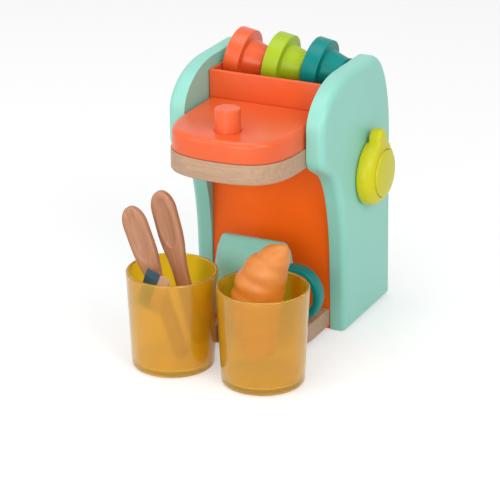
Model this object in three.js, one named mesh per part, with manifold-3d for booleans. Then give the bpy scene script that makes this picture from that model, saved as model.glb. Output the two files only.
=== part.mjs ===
import * as THREE from "three";
import { mergeVertices } from "three/addons/utils/BufferGeometryUtils.js";
import Module from "manifold-3d";

const wasm = await Module();
wasm.setup();

// Toy coffee maker with its accessories, in millimetres, +Z up, front towards -Y.
// The origin is the middle of the flat underside that the machine stands on.

// Driving dimensions of the machine
const GAP = 0.3; // clearance between pieces that touch
const SHELL_OUT = 65.5; // outer face of a side shell, from the middle plane
const SHELL_IN = 50.6; // flat inner face of a side shell
const SHELL_TOP = 211.5; // height of the arched shells
const SHELL_WALL = 2.4; // moulded wall thickness
const EDGE = 6.5; // rounding of the shells' outer edges
const BACK_Y = 92; // back edge of the shells at the foot of their arch
const BACK_FOOT_Y = 96; // back edge of the shells at the table
const FOOT_Y = 8; // front edge of the shells at the table
const HEAD_EDGE_Y = -40.7; // front edge of the shells beside the head
const HEAD_FRONT_Y = -95.4; // foremost point of the head
const HEAD_PLATE_Z = 149; // underside of the wooden head plate
const HEAD_SPLIT_Z = 164.7; // joint between the plate and the orange cover
const HEAD_TOP_Z = 181.5; // flat top of the head cover
const COVER_INSET = 1; // how far the cover stands back from the plate's edge
const COVER_WALL = 2.5;
const FRONT_WALL_Y = 7; // front face of the wall between the shells
const BASE_THICKNESS = 3; // moulded bottom cover
const PLATFORM_TOP_Z = 18; // top of the wooden cup platform
const PLATFORM_FRONT_Y = -61;
const RACK_FRONT_Y = 1;
const RACK_BACK_Y = 68;
const RACK_TOP_Z = 202.3;
const POD_TILT = THREE.MathUtils.degToRad(10); // the pods' narrow ends hang down
const MIDDLE_POD = [-13.3, 39.5, 203.7]; // middle of the green pod's rim
const POD_PITCH = 32.8;
const POD_RADIUS = 22.3;
const DIAL_Y = 45;
const DIAL_Z = 122.5;
const DIAL_RADIUS = 26.2;
const SHAFT_RADIUS = 3.9;
const KNOB_Y = -69;
const KNOB_RADIUS = 9.4;
const KNOB_HEIGHT = 17.6;

// Driving dimensions of the accessories
const MUG_HEIGHT = 76;
const MUG_RIM_RADIUS = 35;
const MUG_FOOT_RADIUS = 31.5;
const MUG_WALL = 2.6;
const MUG_Y = -99.5;
const LEFT_MUG_X = -32.5;
const RIGHT_MUG_X = 43;
const SPOON_LENGTH = 124;
const SPOON_THICKNESS = 6.4;
const JUG_X = 0;
const JUG_Y = -24;
const JUG_TOP_Z = 80;
const JUG_WALL = 2.4;

const finish = (colour, roughness, extra = {}) =>
  new THREE.MeshStandardMaterial({ color: colour, roughness, metalness: 0, ...extra });
const mint = () => finish(0x8fd3be, 0.42);
const orange = () => finish(0xf06414, 0.4);
const coral = () => finish(0xef5b2c, 0.35);
const lime = () => finish(0xd0cd28, 0.38);
const beech = () => finish(0xcdaf8c, 0.7);
const spoonWood = () => finish(0xc88c69, 0.62);
const amber = () => finish(0xdca214, 0.12, { transparent: true, opacity: 0.6 });
const teal = () => finish(0x008c87, 0.35);
const podGreen = () => finish(0xb2d032, 0.38);
const foil = () => finish(0xe9e2d2, 0.5);
const crust = () => finish(0xd88c40, 0.7);
const paper = () => finish(0x1d5f78, 0.45);
const steel = () => finish(0xb9bcc0, 0.3, { metalness: 1 });
const nylon = () => finish(0xf1efe8, 0.45);
const black = () => finish(0x2a2c2f, 0.6);
const board = () => finish(0x2f7a4a, 0.5);
const rubber = () => finish(0x3a3a3c, 0.85);

const group = new THREE.Group();
group.name = "toy_coffee_maker";

function add(name, geometry, material) {
  const mesh = new THREE.Mesh(geometry, material);
  mesh.name = name;
  group.add(mesh);
  return mesh;
}

// Booleans on closed geometries
function toSolid(geometry) {
  const bare = geometry.index ? geometry.toNonIndexed() : geometry.clone();
  bare.deleteAttribute("normal");
  bare.deleteAttribute("uv");
  const merged = mergeVertices(bare, 1e-4);
  const corners = merged.index.array;
  const kept = [];
  for (let i = 0; i < corners.length; i += 3) {
    const [a, b, c] = corners.subarray(i, i + 3);
    if (a !== b && b !== c && a !== c) kept.push(a, b, c);
  }
  const mesh = new wasm.Mesh({
    numProp: 3,
    vertProperties: new Float32Array(merged.attributes.position.array),
    triVerts: new Uint32Array(kept),
  });
  return new wasm.Manifold(mesh);
}

function toGeometry(solid) {
  const mesh = solid.getMesh();
  const geometry = new THREE.BufferGeometry();
  geometry.setAttribute("position", new THREE.BufferAttribute(mesh.vertProperties, 3));
  geometry.setIndex(new THREE.BufferAttribute(mesh.triVerts, 1));
  geometry.computeVertexNormals();
  return geometry;
}

function join(first, ...others) {
  return toGeometry(others.reduce((whole, other) => whole.add(toSolid(other)), toSolid(first)));
}

function cut(first, ...others) {
  return toGeometry(others.reduce((whole, other) => whole.subtract(toSolid(other)), toSolid(first)));
}

// A copy mirrored in the middle plane, with its faces turned to point out again
function mirrored(geometry) {
  const copy = geometry.toNonIndexed().scale(-1, 1, 1);
  const places = copy.attributes.position;
  const [first, second] = [new THREE.Vector3(), new THREE.Vector3()];
  for (let i = 0; i < places.count; i += 3) {
    first.fromBufferAttribute(places, i);
    second.fromBufferAttribute(places, i + 1);
    places.setXYZ(i, second.x, second.y, second.z);
    places.setXYZ(i + 1, first.x, first.y, first.z);
  }
  copy.computeVertexNormals();
  return copy;
}

// A section drawn in (y, z) runs along X, one in (-x, z) along Y and one in (x, y) along Z
const axes = (a, b, c) =>
  new THREE.Matrix4().makeBasis(new THREE.Vector3(...a), new THREE.Vector3(...b), new THREE.Vector3(...c));
const ALONG = {
  x: axes([0, 1, 0], [0, 0, 1], [1, 0, 0]),
  y: axes([-1, 0, 0], [0, 0, 1], [0, 1, 0]),
  z: new THREE.Matrix4(),
};

// A straight slab of a section between two places on an axis
function slab(shape, axis, from, to, curveSegments = 8) {
  const geometry = new THREE.ExtrudeGeometry(shape, { depth: to - from, bevelEnabled: false, curveSegments });
  return geometry.translate(0, 0, from).applyMatrix4(ALONG[axis]);
}

// The same with both rims rounded, and its outline drawn in by an inset
function roundedSlab(shape, axis, from, to, radius, { inset = 0, segments = 2, curveSegments = 8 } = {}) {
  const geometry = new THREE.ExtrudeGeometry(shape, {
    depth: to - from - 2 * radius,
    bevelEnabled: true,
    bevelThickness: radius,
    bevelSize: radius,
    bevelOffset: -radius - inset,
    bevelSegments: segments,
    curveSegments,
  });
  return geometry.translate(0, 0, from + radius).applyMatrix4(ALONG[axis]);
}

// A revolve about Z of [radius, height] pairs, and the same about X and Y
function turned(profile, segments = 24) {
  const points = profile.map(([r, z]) => new THREE.Vector2(r, z));
  return new THREE.LatheGeometry(points, segments).rotateX(Math.PI / 2);
}
const turnedAlongX = (profile, segments) => turned(profile, segments).applyMatrix4(ALONG.x);
const turnedAlongY = (profile, segments) => turned(profile, segments).applyMatrix4(ALONG.y);

const rod = (radius, from, to) => [[0, from], [radius, from], [radius, to], [0, to]];
const disc = (radius, from, to, segments) => turned(rod(radius, from, to), segments);
const discAlongX = (radius, from, to, segments) => turnedAlongX(rod(radius, from, to), segments);
const discAlongY = (radius, from, to, segments) => turnedAlongY(rod(radius, from, to), segments);

function box(x0, x1, y0, y1, z0, z1) {
  const geometry = new THREE.BoxGeometry(x1 - x0, y1 - y0, z1 - z0);
  return geometry.translate((x0 + x1) / 2, (y0 + y1) / 2, (z0 + z1) / 2);
}

function rectangle(x0, x1, y0, y1, radius = 0) {
  const shape = new THREE.Shape();
  shape.moveTo(x0 + radius, y0);
  shape.lineTo(x1 - radius, y0);
  if (radius) shape.absarc(x1 - radius, y0 + radius, radius, -Math.PI / 2, 0);
  shape.lineTo(x1, y1 - radius);
  if (radius) shape.absarc(x1 - radius, y1 - radius, radius, 0, Math.PI / 2);
  shape.lineTo(x0 + radius, y1);
  if (radius) shape.absarc(x0 + radius, y1 - radius, radius, Math.PI / 2, Math.PI);
  shape.lineTo(x0, y0 + radius);
  if (radius) shape.absarc(x0 + radius, y0 + radius, radius, Math.PI, 1.5 * Math.PI);
  return shape;
}

// A closed skin over rings of as many points each, the first ring lowest and each anticlockwise
function loft(rings) {
  const count = rings[0].length;
  const corners = [];
  for (let i = 0; i + 1 < rings.length; i += 1) {
    for (let j = 0; j < count; j += 1) {
      const k = (j + 1) % count;
      const [a, b, c, d] = [rings[i][j], rings[i][k], rings[i + 1][k], rings[i + 1][j]];
      corners.push(a, b, c, a, c, d);
    }
  }
  const middle = (ring) => ring.reduce((sum, point) => sum.add(point), new THREE.Vector3()).divideScalar(count);
  const last = rings.at(-1);
  const [bottom, top] = [middle(rings[0]), middle(last)];
  for (let j = 0; j < count; j += 1) {
    const k = (j + 1) % count;
    corners.push(bottom, rings[0][k], rings[0][j], top, last[j], last[k]);
  }
  return new THREE.BufferGeometry().setFromPoints(corners);
}

// A bar of an oval section along a curve
function bar(curve, halfWidth, halfHeight, steps, sides) {
  const section = new THREE.Shape();
  section.absellipse(0, 0, halfWidth, halfHeight, 0, 2 * Math.PI);
  return new THREE.ExtrudeGeometry(section, { extrudePath: curve, steps, curveSegments: sides / 2 });
}

// A pan-head screw about Z: its head sits on height 0 and its shank points down
function screw(headRadius, shankRadius, length) {
  const headHeight = 0.7 * headRadius;
  const slotWidth = 0.3 * headRadius;
  const blank = turned(
    [
      [0, -length],
      [0.4 * shankRadius, -length],
      [shankRadius, 0.8 * shankRadius - length],
      [shankRadius, 0],
      [headRadius, 0],
      [headRadius, 0.5 * headHeight],
      [0.7 * headRadius, headHeight],
      [0, headHeight],
    ],
    10,
  );
  const slot = box(-headRadius, headRadius, -slotWidth / 2, slotWidth / 2, 0.5 * headHeight, headHeight + 1);
  return cut(blank, slot);
}

// Side shells: an arched outline seen from the side, hollow and open towards the middle
function shellOutline() {
  const outline = new THREE.Shape();
  outline.moveTo(FOOT_Y, 0);
  outline.lineTo(4.9, 60);
  outline.bezierCurveTo(3.4, 90, -5, 130, -22, 138.8);
  outline.lineTo(-33.5, 145.7);
  outline.quadraticCurveTo(HEAD_EDGE_Y, 150, HEAD_EDGE_Y, 158);
  outline.lineTo(HEAD_EDGE_Y, 178);
  outline.absellipse(11, 178, 11 - HEAD_EDGE_Y, SHELL_TOP - 178, Math.PI, Math.PI / 2, true);
  outline.lineTo(57, SHELL_TOP);
  outline.absellipse(57, 137, BACK_Y - 57, SHELL_TOP - 137, Math.PI / 2, 0, true);
  outline.lineTo(BACK_FOOT_Y, 0);
  return outline;
}

const BACK_COVER_WALL = 2.5;
const BACK_COVER_Y = BACK_Y - 3 - BACK_COVER_WALL; // inner face of the back cover
const SCREW_X = 44;
const SCREW_HEIGHTS = [24, 118];
const BRACKET_X = 44; // the mechanism bracket's face towards the middle
const BRACKET_THICKNESS = 2;
const BRACKET_SCREWS = [DIAL_Y - 22, DIAL_Y + 22];
const BRACKET_SCREW_Z = DIAL_Z - 20;

// The shell's form: flat inside, rounded outside, drawn in by an inset on every side for its hollow
function shellForm(inset) {
  const options = { inset, segments: 3, curveSegments: 6 };
  const outer = SHELL_OUT - inset;
  const inner = SHELL_IN + inset;
  const rounding = EDGE - inset;
  const whole = roundedSlab(shellOutline(), "x", inner - EDGE, outer, rounding, options);
  return cut(whole, box(0, inner, -100, 100, -1, SHELL_TOP + 1));
}

// Hollow shell, with a window towards the room between the front wall and the back cover
function shellSkin() {
  const window = box(SHELL_IN - 1, SHELL_OUT - EDGE, FRONT_WALL_Y + 4, BACK_COVER_Y - 1, 4, RACK_FLOOR_Z - 6);
  return cut(shellForm(0), shellForm(SHELL_WALL), window);
}

// A lug inside the back rim, which a screw through the back cover goes into
const LUG_DEPTH = 10;
function screwLug(z) {
  return box(SCREW_X - 5, SHELL_OUT - 1.5, BACK_COVER_Y - GAP - LUG_DEPTH, BACK_COVER_Y - GAP, z - 5, z + 5);
}
function screwPilot(z) {
  return discAlongY(1.4, BACK_COVER_Y - LUG_DEPTH + 1, BACK_COVER_Y + 1, 10).translate(SCREW_X, 0, z);
}

function sideShell() {
  return cut(join(shellSkin(), ...SCREW_HEIGHTS.map(screwLug)), ...SCREW_HEIGHTS.map(screwPilot));
}

function dialSideShell() {
  const reach = SHELL_OUT - SHELL_WALL;
  const base = BRACKET_X + BRACKET_THICKNESS + GAP;
  const bosses = BRACKET_SCREWS.map((y) => discAlongX(4, base, reach + 1, 16).translate(0, y, BRACKET_SCREW_Z));
  const pilots = BRACKET_SCREWS.map((y) => discAlongX(1.4, base - 1, base + 12, 10).translate(0, y, BRACKET_SCREW_Z));
  const bearing = discAlongX(SHAFT_RADIUS + 4, reach - 4, reach + 1, 20).translate(0, DIAL_Y, DIAL_Z);
  const bore = discAlongX(SHAFT_RADIUS + 0.5, reach - 5, SHELL_OUT + 1, 20).translate(0, DIAL_Y, DIAL_Z);
  return cut(join(sideShell(), ...bosses, bearing), ...pilots, bore);
}

// Back cover: a bent sheet that follows the shells' outline, with holes over the speaker
const SPEAKER_Z = 66;
const SPEAKER_RADIUS = 18;
function backCover() {
  const outer = BACK_COVER_Y + BACK_COVER_WALL;
  const low = BASE_THICKNESS + GAP;
  const reach = RACK_BACK_Y + GAP - 57;
  const sheet = new THREE.Shape();
  const [outerRise, innerRise] = [SHELL_TOP - 3 - 137, SHELL_TOP - 3 - BACK_COVER_WALL - 137];
  sheet.moveTo(BACK_COVER_Y, low);
  sheet.lineTo(outer, low);
  sheet.lineTo(outer, 137);
  sheet.absellipse(57, 137, outer - 57, outerRise, 0, Math.acos(reach / (outer - 57)));
  sheet.absellipse(57, 137, BACK_COVER_Y - 57, innerRise, Math.acos(reach / (BACK_COVER_Y - 57)), 0, true);
  const half = SHELL_IN - GAP;
  const collarProfile = [
    [SPEAKER_RADIUS + GAP, BACK_COVER_Y - 6],
    [SPEAKER_RADIUS + 2, BACK_COVER_Y - 6],
    [SPEAKER_RADIUS + 2, BACK_COVER_Y + 1],
    [SPEAKER_RADIUS + GAP, BACK_COVER_Y + 1],
    [SPEAKER_RADIUS + GAP, BACK_COVER_Y - 6],
  ];
  const collar = turnedAlongY(collarProfile, 24).translate(0, 0, SPEAKER_Z);
  const holes = [];
  for (const [level, half] of [[-10, 8], [-5, 12], [0, 13], [5, 12], [10, 8]]) {
    const z = SPEAKER_Z + level;
    holes.push(box(-half, half, BACK_COVER_Y - 1, BACK_Y, z - 1.1, z + 1.1));
  }
  for (const x of [-SCREW_X, SCREW_X]) {
    for (const z of SCREW_HEIGHTS) {
      holes.push(discAlongY(1.9, BACK_COVER_Y - 1, BACK_Y, 10).translate(x, 0, z));
      holes.push(discAlongY(3.4, BACK_COVER_Y + 1.2, BACK_Y, 12).translate(x, 0, z));
    }
  }
  return cut(join(slab(sheet, "x", -half, half, 7), collar), ...holes);
}

// Front wall: a flat panel between the shells, up to the head plate
function frontWall() {
  const half = SHELL_IN - GAP;
  return box(-half, half, FRONT_WALL_Y, FRONT_WALL_Y + 2.5, BASE_THICKNESS + GAP, HEAD_PLATE_Z - GAP);
}

// Plan of the head, and of the platform below it: straight sides and a full, rounded front
function roundFront(half, backY, sideY, frontY) {
  const fullness = 0.76; // nearer 1 is squarer; 0.55 is an ellipse
  const depth = sideY - frontY;
  const plan = new THREE.Shape();
  plan.moveTo(-half, backY);
  plan.lineTo(-half, sideY);
  plan.bezierCurveTo(-half, sideY - fullness * depth, -fullness * half, frontY, 0, frontY);
  plan.bezierCurveTo(fullness * half, frontY, half, sideY - fullness * depth, half, sideY);
  plan.lineTo(half, backY);
  return plan;
}
function headPlan(backY, inset = 0) {
  return roundFront(SHELL_IN - GAP - inset, backY, HEAD_EDGE_Y + 1, HEAD_FRONT_Y + inset);
}

const KNOB_STEM_RADIUS = 3;
const KNOB_TRAVEL = 5;
const KNOB_FLANGE_Z = HEAD_TOP_Z - COVER_WALL - GAP; // top of the hidden flange
const SPRING_POCKET_Z = HEAD_SPLIT_Z - 5; // floor of the pocket in the head plate
const GUIDE_FLOOR_Z = HEAD_PLATE_Z + 2; // floor of the hole that guides the stem

function headCover() {
  const bottom = HEAD_SPLIT_Z + GAP;
  const plan = headPlan(RACK_FRONT_Y - GAP, COVER_INSET);
  const block = roundedSlab(plan, "z", bottom - 6, HEAD_TOP_Z, 4, { segments: 3, curveSegments: 10 });
  const lining = { inset: COVER_WALL, segments: 1, curveSegments: 10 };
  const hollow = roundedSlab(plan, "z", bottom - 8, HEAD_TOP_Z - COVER_WALL, 1, lining);
  const below = box(-60, 60, -100, 10, bottom - 8, bottom);
  const opening = disc(KNOB_RADIUS + 0.4, HEAD_TOP_Z - COVER_WALL - 1, HEAD_TOP_Z + 1, 28).translate(0, KNOB_Y, 0);
  return cut(block, hollow, below, opening);
}

const SPOUT_Y = -27;
function headPlate() {
  const options = { segments: 1, curveSegments: 10 };
  const plate = roundedSlab(headPlan(FRONT_WALL_Y + 4), "z", HEAD_PLATE_Z, HEAD_SPLIT_Z, 1, options);
  const guide = disc(KNOB_STEM_RADIUS + 0.5, GUIDE_FLOOR_Z, HEAD_SPLIT_Z + 1, 16).translate(0, KNOB_Y, 0);
  const pocket = disc(9, SPRING_POCKET_Z, HEAD_SPLIT_Z + 1, 20).translate(0, KNOB_Y, 0);
  const socket = disc(9.3, HEAD_PLATE_Z - 1, HEAD_PLATE_Z + 8, 20).translate(0, SPOUT_Y, 0);
  return cut(plate, guide, pocket, socket);
}

// Brew spout: a peg in the head plate, a cross bar and two short nozzles with open ends
function brewSpout() {
  const top = HEAD_PLATE_Z - GAP;
  const peg = disc(9, top - 4, top + 8, 20);
  const block = roundedSlab(rectangle(-16, 16, -8, 8, 7), "z", top - 9, top, 1.5, { segments: 1, curveSegments: 4 });
  const nozzle = (x) => turned([[0, top - 17], [3.6, top - 17], [5, top - 8], [0, top - 8]], 16).translate(x, 0, 0);
  const bore = (x) => disc(2.4, top - 18, top - 11, 12).translate(x, 0, 0);
  return cut(join(peg, block, nozzle(-8.5), nozzle(8.5)), bore(-8.5), bore(8.5)).translate(0, SPOUT_Y, 0);
}

// Bottom cover: the flat underside, with an opening for the battery door and pockets for pads
const BASE_HALF = 44;
const BATTERY_Y = 50;
const DOOR_HALF_X = 30;
const DOOR_HALF_Y = 16.5;
const DOOR_SCREW_Y = BATTERY_Y + DOOR_HALF_Y - 3;
const PAD_RADIUS = 6;
const PAD_PLACES = [[-40, 78], [40, 78], [-28, -36], [28, -36]];
function bottomCover() {
  const plan = new THREE.Shape();
  const wide = SHELL_IN - GAP;
  const backY = BACK_COVER_Y + BACK_COVER_WALL;
  plan.moveTo(-wide, backY);
  plan.lineTo(-wide, FOOT_Y + 1);
  plan.lineTo(-BASE_HALF, FOOT_Y + 1);
  plan.bezierCurveTo(-BASE_HALF, -40, -30, PLATFORM_FRONT_Y + 7, 0, PLATFORM_FRONT_Y + 7);
  plan.bezierCurveTo(30, PLATFORM_FRONT_Y + 7, BASE_HALF, -40, BASE_HALF, FOOT_Y + 1);
  plan.lineTo(wide, FOOT_Y + 1);
  plan.lineTo(wide, backY);
  const plate = slab(plan, "z", 0, BASE_THICKNESS, 8);
  const door = box(
    -DOOR_HALF_X - GAP, DOOR_HALF_X + GAP,
    BATTERY_Y - DOOR_HALF_Y - GAP, BATTERY_Y + DOOR_HALF_Y + GAP,
    -1, BASE_THICKNESS + 1,
  );
  const pockets = PAD_PLACES.map(([x, y]) => disc(PAD_RADIUS + GAP, -1, 1.5, 16).translate(x, y, 0));
  return cut(plate, door, ...pockets);
}

function batteryDoor() {
  const plan = rectangle(-DOOR_HALF_X, DOOR_HALF_X, BATTERY_Y - DOOR_HALF_Y, BATTERY_Y + DOOR_HALF_Y, 1.5);
  const plate = slab(plan, "z", 0.4, BASE_THICKNESS, 2);
  const bore = disc(1.5, -1, BASE_THICKNESS + 1, 12).translate(0, DOOR_SCREW_Y, 0);
  const sink = disc(2.7, -1, 2.2, 12).translate(0, DOOR_SCREW_Y, 0);
  return cut(plate, bore, sink);
}

const CELL_RADIUS = 5.25;
const CELL_Z = 9.5;
const CELL_PLACES = [BATTERY_Y - 8.5, BATTERY_Y + 3.5];
function batteryBox() {
  const low = BASE_THICKNESS + GAP;
  const [x, y] = [DOOR_HALF_X + 3, DOOR_HALF_Y + 3];
  const outer = slab(rectangle(-x, x, BATTERY_Y - y, BATTERY_Y + y, 2), "z", low, 17, 2);
  const room = box(1.8 - x, x - 1.8, BATTERY_Y - y + 1.8, BATTERY_Y + y - 1.8, low - 1, 15.2);
  const post = disc(3, low, 16, 12).translate(0, DOOR_SCREW_Y, 0);
  const pilot = disc(1.1, low - 1, 13, 10).translate(0, DOOR_SCREW_Y, 0);
  return cut(join(cut(outer, room), post), pilot);
}

// A round cell lying along X, with its small positive cap
function cell() {
  return turnedAlongX(
    [[0, -22.25], [CELL_RADIUS, -22.25], [CELL_RADIUS, 21.25], [2, 21.25], [2, 22.25], [0, 22.25]],
    18,
  );
}

// Platform: wood in front of the wall, with a routed recess for the grille
const GRILLE_HALF_X = 33;
const GRILLE_Y = [-47, -5];
const GRILLE_DEPTH = 3;
function platform() {
  const plan = roundFront(SHELL_IN - GAP, FRONT_WALL_Y - GAP, -20, PLATFORM_FRONT_Y);
  const low = BASE_THICKNESS + GAP;
  const slabOfWood = roundedSlab(plan, "z", low, PLATFORM_TOP_Z, 1, { segments: 1, curveSegments: 10 });
  const recess = rectangle(-GRILLE_HALF_X - GAP, GRILLE_HALF_X + GAP, GRILLE_Y[0] - GAP, GRILLE_Y[1] + GAP, 6.3);
  return cut(slabOfWood, slab(recess, "z", PLATFORM_TOP_Z - GRILLE_DEPTH - GAP, PLATFORM_TOP_Z + 1, 4));
}

function dripGrille() {
  const outline = rectangle(-GRILLE_HALF_X, GRILLE_HALF_X, GRILLE_Y[0], GRILLE_Y[1], 6);
  const plate = slab(outline, "z", PLATFORM_TOP_Z - GRILLE_DEPTH, PLATFORM_TOP_Z, 4);
  const slots = [];
  for (let i = -3; i <= 3; i += 1) {
    const slot = rectangle(i * 8.4 - 1.8, i * 8.4 + 1.8, GRILLE_Y[0] + 6, GRILLE_Y[1] - 6);
    slots.push(slab(slot, "z", PLATFORM_TOP_Z - 1.6, PLATFORM_TOP_Z + 1, 2));
  }
  return cut(plate, ...slots);
}

// Pods: cups lying on their sides, their wide rims towards -X and their narrow ends hanging down
const POD_FLANGE = 10; // length of the wide rim
const POD_LENGTH = 28;
const POD_BODY_RADIUS = 18.4;
const POD_END_RADIUS = 15.5;
const POD_SEGMENTS = 24;
const podX = (i) => MIDDLE_POD[0] + (i - 1) * POD_PITCH;
function podCup() {
  return turnedAlongX(
    [
      [0, POD_LENGTH - 2.2],
      [POD_END_RADIUS - 2, POD_LENGTH - 2.2],
      [POD_BODY_RADIUS - 2.2, 3],
      [POD_RADIUS - 2, 3],
      [POD_RADIUS - 2, 0],
      [POD_RADIUS - 1, 0],
      [POD_RADIUS, 1.2],
      [POD_RADIUS, POD_FLANGE - 1],
      [POD_RADIUS - 1.2, POD_FLANGE],
      [POD_BODY_RADIUS, POD_FLANGE],
      [POD_END_RADIUS, POD_LENGTH - 2],
      [POD_END_RADIUS - 2, POD_LENGTH],
      [0, POD_LENGTH],
    ],
    POD_SEGMENTS,
  );
}
const podLid = () => discAlongX(POD_RADIUS - 2 - GAP, 0.5, 3 - GAP, POD_SEGMENTS);

// Pod rack: a trough between the shells, with a notched rib under each pod's narrow part
const RACK_FLOOR_Z = MIDDLE_POD[2] - POD_RADIUS * Math.cos(POD_TILT) - POD_FLANGE * Math.sin(POD_TILT) - GAP;
const RIB_HALF_Y = 13;
function podRack() {
  const half = SHELL_IN - GAP;
  const wall = COVER_WALL;
  const profile = new THREE.Shape();
  profile.moveTo(RACK_FRONT_Y, HEAD_SPLIT_Z + GAP);
  profile.lineTo(RACK_FRONT_Y + wall, HEAD_SPLIT_Z + GAP);
  profile.lineTo(RACK_FRONT_Y + wall, RACK_FLOOR_Z - wall);
  profile.lineTo(RACK_BACK_Y, RACK_FLOOR_Z - wall);
  profile.lineTo(RACK_BACK_Y, RACK_TOP_Z - 1);
  profile.quadraticCurveTo(RACK_BACK_Y, RACK_TOP_Z, RACK_BACK_Y - 1, RACK_TOP_Z);
  profile.lineTo(RACK_BACK_Y - wall, RACK_TOP_Z);
  profile.lineTo(RACK_BACK_Y - wall, RACK_FLOOR_Z);
  profile.lineTo(RACK_FRONT_Y + wall, RACK_FLOOR_Z);
  profile.lineTo(RACK_FRONT_Y + wall, RACK_TOP_Z);
  profile.lineTo(RACK_FRONT_Y + 1, RACK_TOP_Z);
  profile.quadraticCurveTo(RACK_FRONT_Y, RACK_TOP_Z, RACK_FRONT_Y, RACK_TOP_Z - 1);
  const trough = slab(profile, "x", -half, half, 2);
  const ribPlace = 20; // along the pod from its rim
  const taper = (POD_BODY_RADIUS - POD_END_RADIUS) / (POD_LENGTH - 2 - POD_FLANGE);
  const notch = POD_BODY_RADIUS - taper * (ribPlace - 3 - POD_FLANGE) + GAP;
  const ribs = [0, 1, 2].map((i) => {
    const x = podX(i) + ribPlace * Math.cos(POD_TILT);
    const [front, back] = [MIDDLE_POD[1] - RIB_HALF_Y, MIDDLE_POD[1] + RIB_HALF_Y];
    const rib = box(x - 1.5, x + 1.5, front, back, RACK_FLOOR_Z - 1, RACK_FLOOR_Z + 7);
    const room = discAlongX(notch, ribPlace - 8, ribPlace + 8, 28).rotateY(POD_TILT);
    return cut(rib, room.translate(podX(i), MIDDLE_POD[1], MIDDLE_POD[2]));
  });
  return join(trough, ...ribs);
}

// Brew knob: the part that is pressed, a hidden flange that stops it and a stem that guides it
function brewKnob() {
  const top = HEAD_TOP_Z + KNOB_HEIGHT;
  const flangeLow = KNOB_FLANGE_Z - 3;
  const stemLow = GUIDE_FLOOR_Z + KNOB_TRAVEL + 1;
  return turned(
    [
      [0, stemLow],
      [KNOB_STEM_RADIUS, stemLow],
      [KNOB_STEM_RADIUS, flangeLow],
      [KNOB_RADIUS + 3, flangeLow],
      [KNOB_RADIUS + 3, KNOB_FLANGE_Z],
      [KNOB_RADIUS, KNOB_FLANGE_Z],
      [KNOB_RADIUS - 0.5, top - 2],
      [KNOB_RADIUS - 1.1, top - 0.6],
      [KNOB_RADIUS - 2.5, top],
      [0, top],
    ],
    28,
  ).translate(0, KNOB_Y, 0);
}

// A coil spring about Z between two heights
class Helix extends THREE.Curve {
  constructor(radius, from, to, turns) {
    super();
    Object.assign(this, { radius, from, to, turns });
  }

  getPoint(t, target = new THREE.Vector3()) {
    const angle = 2 * Math.PI * this.turns * t;
    const height = this.from + (this.to - this.from) * t;
    return target.set(this.radius * Math.cos(angle), this.radius * Math.sin(angle), height);
  }
}
function knobSpring() {
  const wire = 0.8;
  const low = SPRING_POCKET_Z + wire + 0.5;
  const high = KNOB_FLANGE_Z - 3 - wire - 0.5;
  return bar(new Helix(7, low, high, 3.5), wire, wire, 35, 6).translate(0, KNOB_Y, 0);
}

// Side dial: a thick disc with one tab, a socket for the shaft and a seat for the cap
const DIAL_X = SHELL_OUT + GAP; // inner face of the dial
const DIAL_THICKNESS = 13.7;
const DIAL_TAB_REACH = 35.6;
const DIAL_TAB_HALF = 7.3;
const CAP_RADIUS = 18.6;
const CAP_DEPTH = 1.5; // how far the cap sinks into the dial
const CAP_RISE = 2.9; // how far its middle stands out
const SOCKET_DEPTH = 6;
const SCREW_SEAT_X = DIAL_X + 7; // where the dial screw's head rests

// The tab's outline, with a hollow fillet on either side where it leaves the disc
function dialTab() {
  const tipZ = DIAL_TAB_REACH - DIAL_TAB_HALF;
  const [footY, footZ] = [14.5, 20.5];
  const tab = new THREE.Shape();
  tab.moveTo(footY, 10);
  tab.lineTo(footY, footZ);
  tab.quadraticCurveTo(DIAL_TAB_HALF + 0.6, footZ + 3.6, DIAL_TAB_HALF, tipZ);
  tab.absarc(0, tipZ, DIAL_TAB_HALF, 0, Math.PI);
  tab.quadraticCurveTo(-DIAL_TAB_HALF - 0.6, footZ + 3.6, -footY, footZ);
  tab.lineTo(-footY, 10);
  return tab;
}

function sideDial() {
  const face = DIAL_X + DIAL_THICKNESS;
  const body = turnedAlongX(
    [
      [0, DIAL_X],
      [DIAL_RADIUS - 0.8, DIAL_X],
      [DIAL_RADIUS, DIAL_X + 0.8],
      [DIAL_RADIUS, face - 4.6],
      [DIAL_RADIUS - 0.6, face - 2.4],
      [DIAL_RADIUS - 2.2, face - 0.7],
      [DIAL_RADIUS - 4.4, face],
      [0, face],
    ],
    48,
  );
  const lever = roundedSlab(dialTab(), "x", DIAL_X + 2.5, face, 2.6, { segments: 3, curveSegments: 8 });
  const seat = discAlongX(CAP_RADIUS + GAP, face - CAP_DEPTH - GAP, face + 1, 40);
  const socket = discAlongX(SHAFT_RADIUS + GAP, DIAL_X - 1, DIAL_X + SOCKET_DEPTH, 20);
  const screwWell = discAlongX(4.2, SCREW_SEAT_X, face + 1, 16);
  const screwHole = discAlongX(1.8, DIAL_X, face, 12);
  return cut(join(body, lever), seat, socket, screwWell, screwHole);
}

function dialCap() {
  const face = DIAL_X + DIAL_THICKNESS;
  return turnedAlongX(
    [
      [0, face - CAP_DEPTH],
      [CAP_RADIUS, face - CAP_DEPTH],
      [CAP_RADIUS, face],
      [0.95 * CAP_RADIUS, face + 0.32 * CAP_RISE],
      [0.78 * CAP_RADIUS, face + 0.66 * CAP_RISE],
      [0.5 * CAP_RADIUS, face + 0.9 * CAP_RISE],
      [0, face + CAP_RISE],
    ],
    40,
  );
}

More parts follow.
